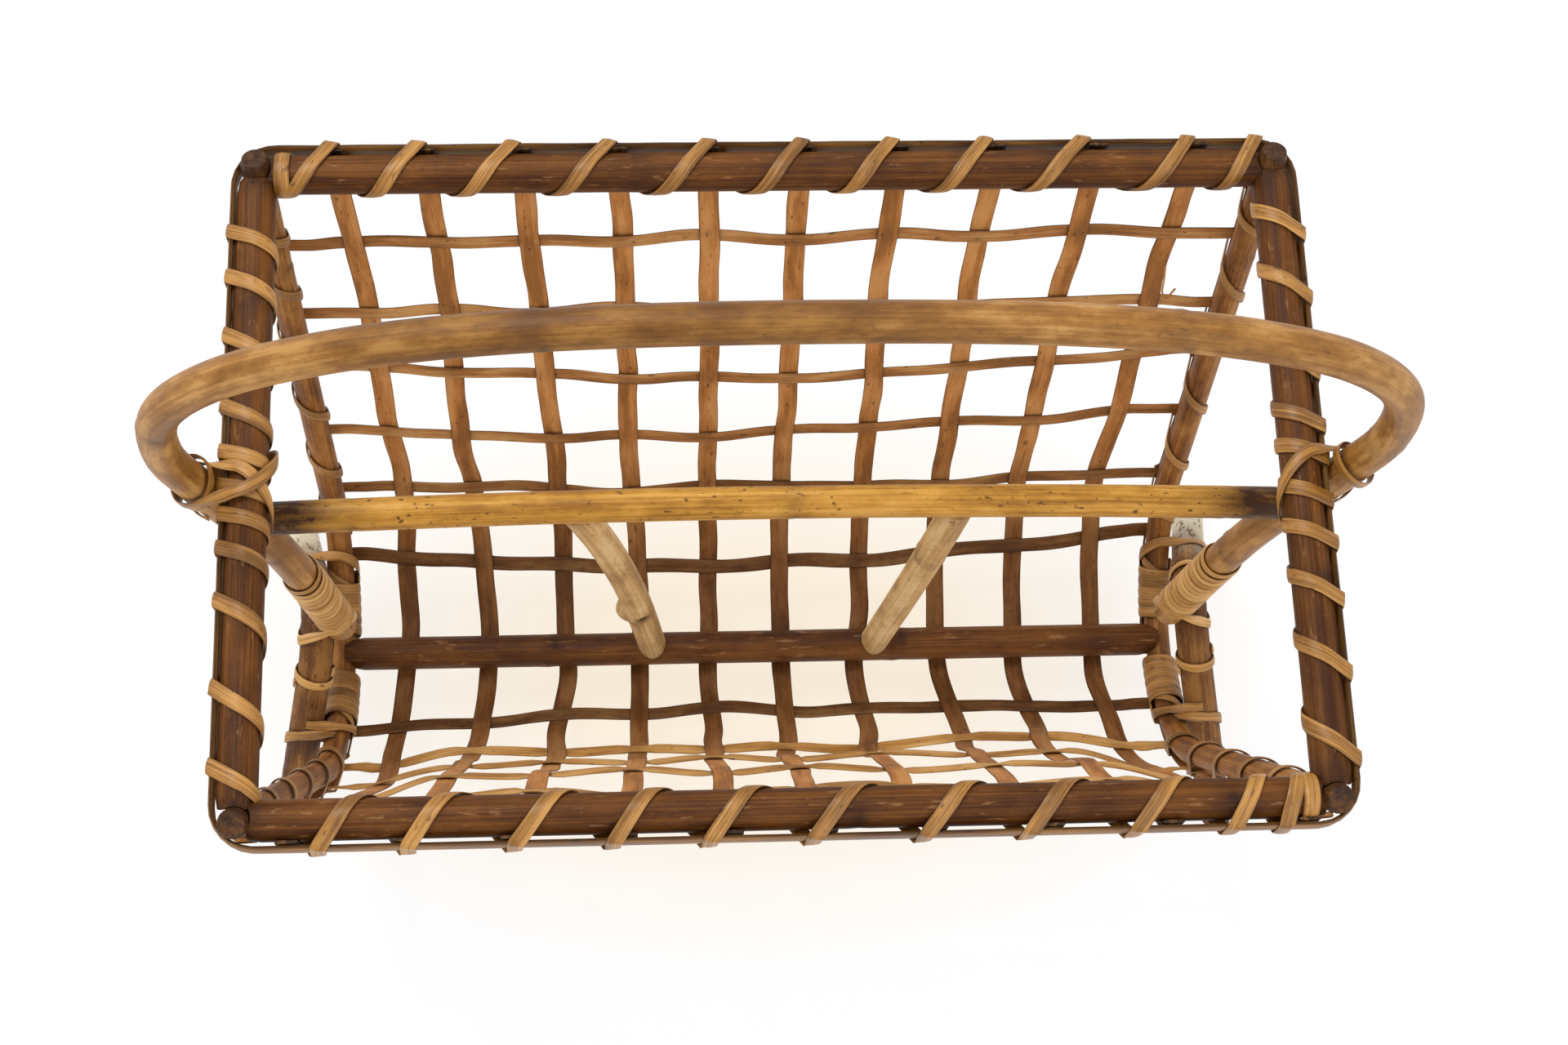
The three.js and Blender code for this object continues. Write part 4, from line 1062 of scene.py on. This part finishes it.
def crown_lashings(name, side):
    """Where the handle ends on the leg: a tie over its foot and turns on each arm of the leg."""
    on_leg, on_handle = leg_place(side), handle_place(side, HANDLE_RADIUS)
    crown, seat = on_leg(0)[0], on_handle(0)[0]
    depth = (seat - crown).normalized()
    leaning = Vector((0, side, 0)).cross(depth)
    poles = [(on_leg, LEG_RADIUS, NEARBY), (on_handle, HANDLE_RADIUS, (-5, 45))]
    lashing(f"crown_lashing_{name}", crown.lerp(seat, 0.5), depth, BACKWARDS + leaning, poles, LEG_TIE,
            PALE_CANE, start=math.pi, hand=side, seed=108 + 2 * side)
    for half, way in HALVES:
        passes = [way * far for far in CROWN_PASSES]
        winding(f"crown_ring_{half}_{name}", ring(LEG_RADIUS), on_leg, passes, CROWN_CANE_WIDE, PALE_CANE,
                math.pi, 0.3, seed=112 + side + 2 * way, nodes=[])


def leg_lashings(name, side):
    """Where a leg passes its end frame: a tie round both and close turns on the frame pole."""
    crossing, _, _ = LEG.at(LEG_CROSSING)
    turn = math.atan2(crossing.y, RIM_HEIGHT - TROUGH_DEPTH + FRAME_BEND + crossing.z)
    frame_run = turn * (FRAME_BEND + WEAVE_OFFSET)
    for half, way in HALVES:
        on_frame, on_leg = frame_place(side, way, frame_run), leg_place(side, way, LEG_CROSSING)
        poles = [(on_frame, FRAME_RADIUS + LAYER, NEARBY), (on_leg, LEG_RADIUS, NEARBY)]
        poles += strip_edges(on_frame, STRIP_BACK, END_STRIP_WIDE, END_STRIP_THICK, Vector((1, 0, 0)))
        middle = on_frame(0)[0].lerp(on_leg(0)[0], 0.5)
        axis = heading(on_frame, 0, 1) + (on_leg(1)[0] - on_leg(0)[0]).normalized()
        axis.x = 0
        lashing(f"leg_lashing_{half}_{name}", middle, Vector((side, 0, 0)), axis, poles, LEG_TIE, FRAME_CANE,
                start=math.pi / 2, hand=side, seed=116 + 4 * side + 2 * way)
        first, last = WRAP_START - frame_run, -WRAP_STOP
        turns = round((last - first) / WRAP_PITCH)
        passes = [first + (last - first) * k / turns for k in range(turns + 1)]
        winding(f"frame_wrap_{half}_{name}", swollen(FRAME_OUTLINE), on_frame, passes, WRAP_CANE_WIDE,
                FRAME_CANE, lead=0.2, seed=128 + side + 2 * way, nodes=[])


def lashings():
    for name, side in SIDES:
        handle_lashings(name, side)
        crown_lashings(name, side)
        leg_lashings(name, side)


# Stage

PAPER_GLOW = 0.82
# How tight the painted warm shadow round the middle of the paper is, along X, Y and Z
WARM_SHADE_PATCH = (4.0, 7.0, 1.0)
LIGHT_LEVEL, WHITE_LEVEL = 0.9, 1.0
LAMPS = {"key_light": ((-0.6, 0.7, 1.9), 1.0, 16.0), "fill_light": ((0.9, -1.2, 1.6), 1.4, 7.0)}
LAMP_AIM = Vector((0, 0, 0.15))
SENSOR_WIDTH, FOCAL_PIXELS, PHOTO_PIXELS = 36.0, 3103, 1920
CAMERA_PLACE = (-54.7, -310.5, 1170.6)
CAMERA_RIGHT, CAMERA_BACK = (0.9981, -0.0336, 0.0507), (-0.0587, -0.3092, 0.9492)


def stage():
    """A sheet of pale paper: the camera sees it mostly glow, so it is white and keeps the basket's shadow."""
    bm = bmesh.new()
    bmesh.ops.create_grid(bm, x_segments=2, y_segments=2, size=6)
    bmesh.ops.translate(bm, vec=(0, 0, -0.0005), verts=bm.verts)
    mesh = bpy.data.meshes.new("floor")
    bm.to_mesh(mesh)
    bm.free()
    floor = add_object("floor", mesh)
    paper = Finish("floor_paper")
    flecks = paper.add("TexNoise", "Fac", Scale=40.0)
    white = paper.ramp(flecks, [(0.3, "fdfcfa"), (0.7, "ffffff")])
    paper.finish(white, 0.9, flecks, 0.01, 0.0)
    rays = [paper.add("LightPath", ray) for ray in ("Is Camera Ray", "Is Glossy Ray", "Is Transmission Ray")]
    seen = paper.math("ADD", paper.math("ADD", rays[0], rays[1]), rays[2])
    # Round the middle the glow is tinted warm: a painted shadow, warm with the basket's bounced light
    spot = paper.add("Mapping", Vector=paper.add("TexCoord", "Object"), Scale=WARM_SHADE_PATCH)
    from_middle = paper.add("VectorMath", "Value", {"operation": "LENGTH"}, Vector=spot)
    warm_shade_share = paper.spread(from_middle, 0.35, 1.0, 1.0, 0.0)
    warm_shaded_paper = paper.mix(warm_shade_share, srgb("ffffff"), srgb("fff1dc"))
    glow = paper.add("Emission", "Emission", Color=warm_shaded_paper, Strength=1.0)
    share = paper.math("MULTIPLY", seen, PAPER_GLOW)
    mixed = paper.add("MixShader", 0, None, {0: share, 1: paper.shader.outputs["BSDF"], 2: glow})
    paper.wire(paper.nodes["Material Output"].inputs["Surface"], mixed)
    mesh.materials.append(paper.material)


def lights():
    """The studio lights the basket a little below white, and looks white itself."""
    world = bpy.data.worlds.new("studio")
    bpy.context.scene.world = world
    world.use_nodes = True
    tree = world.node_tree
    rays = tree.nodes.new("ShaderNodeLightPath")
    strength = tree.nodes.new("ShaderNodeMapRange")
    strength.inputs["To Min"].default_value = LIGHT_LEVEL
    strength.inputs["To Max"].default_value = WHITE_LEVEL
    tree.links.new(rays.outputs["Is Camera Ray"], strength.inputs["Value"])
    background = tree.nodes["Background"]
    tree.links.new(strength.outputs["Result"], background.inputs["Strength"])
    background.inputs["Color"].default_value = (1, 1, 1, 1)
    for name, (place, size, power) in LAMPS.items():
        lamp = bpy.data.lights.new(name, "AREA")
        lamp.shape = "DISK"
        lamp.size = size
        lamp.energy = power
        light = add_object(name, lamp)
        light.location = place
        light.rotation_euler = (LAMP_AIM - Vector(place)).to_track_quat("-Z", "Y").to_euler()


def camera():
    data = bpy.data.cameras.new("camera")
    data.sensor_width = SENSOR_WIDTH
    data.lens = SENSOR_WIDTH * FOCAL_PIXELS / PHOTO_PIXELS
    data.clip_start, data.clip_end = 0.05, 50.0
    right = Vector(CAMERA_RIGHT).normalized()
    back = Vector(CAMERA_BACK).normalized()
    up = back.cross(right).normalized()
    right = up.cross(back)
    seen = add_object("camera", data)
    turn = Matrix((right, up, back)).transposed().to_4x4()
    seen.matrix_world = Matrix.Translation(Vector(CAMERA_PLACE) * MM) @ turn
    bpy.context.scene.camera = seen
    bpy.context.scene.view_settings.view_transform = "Standard"


stage()
lights()
camera()
end_frames()
rails()
bottom_bar()
leg_hoops()
handle()
divider()
warps()
wefts()
loose_fibre()
end_strips()
rim_strip()
rail_bindings()
frame_bindings()
handle_bindings()
lashings()
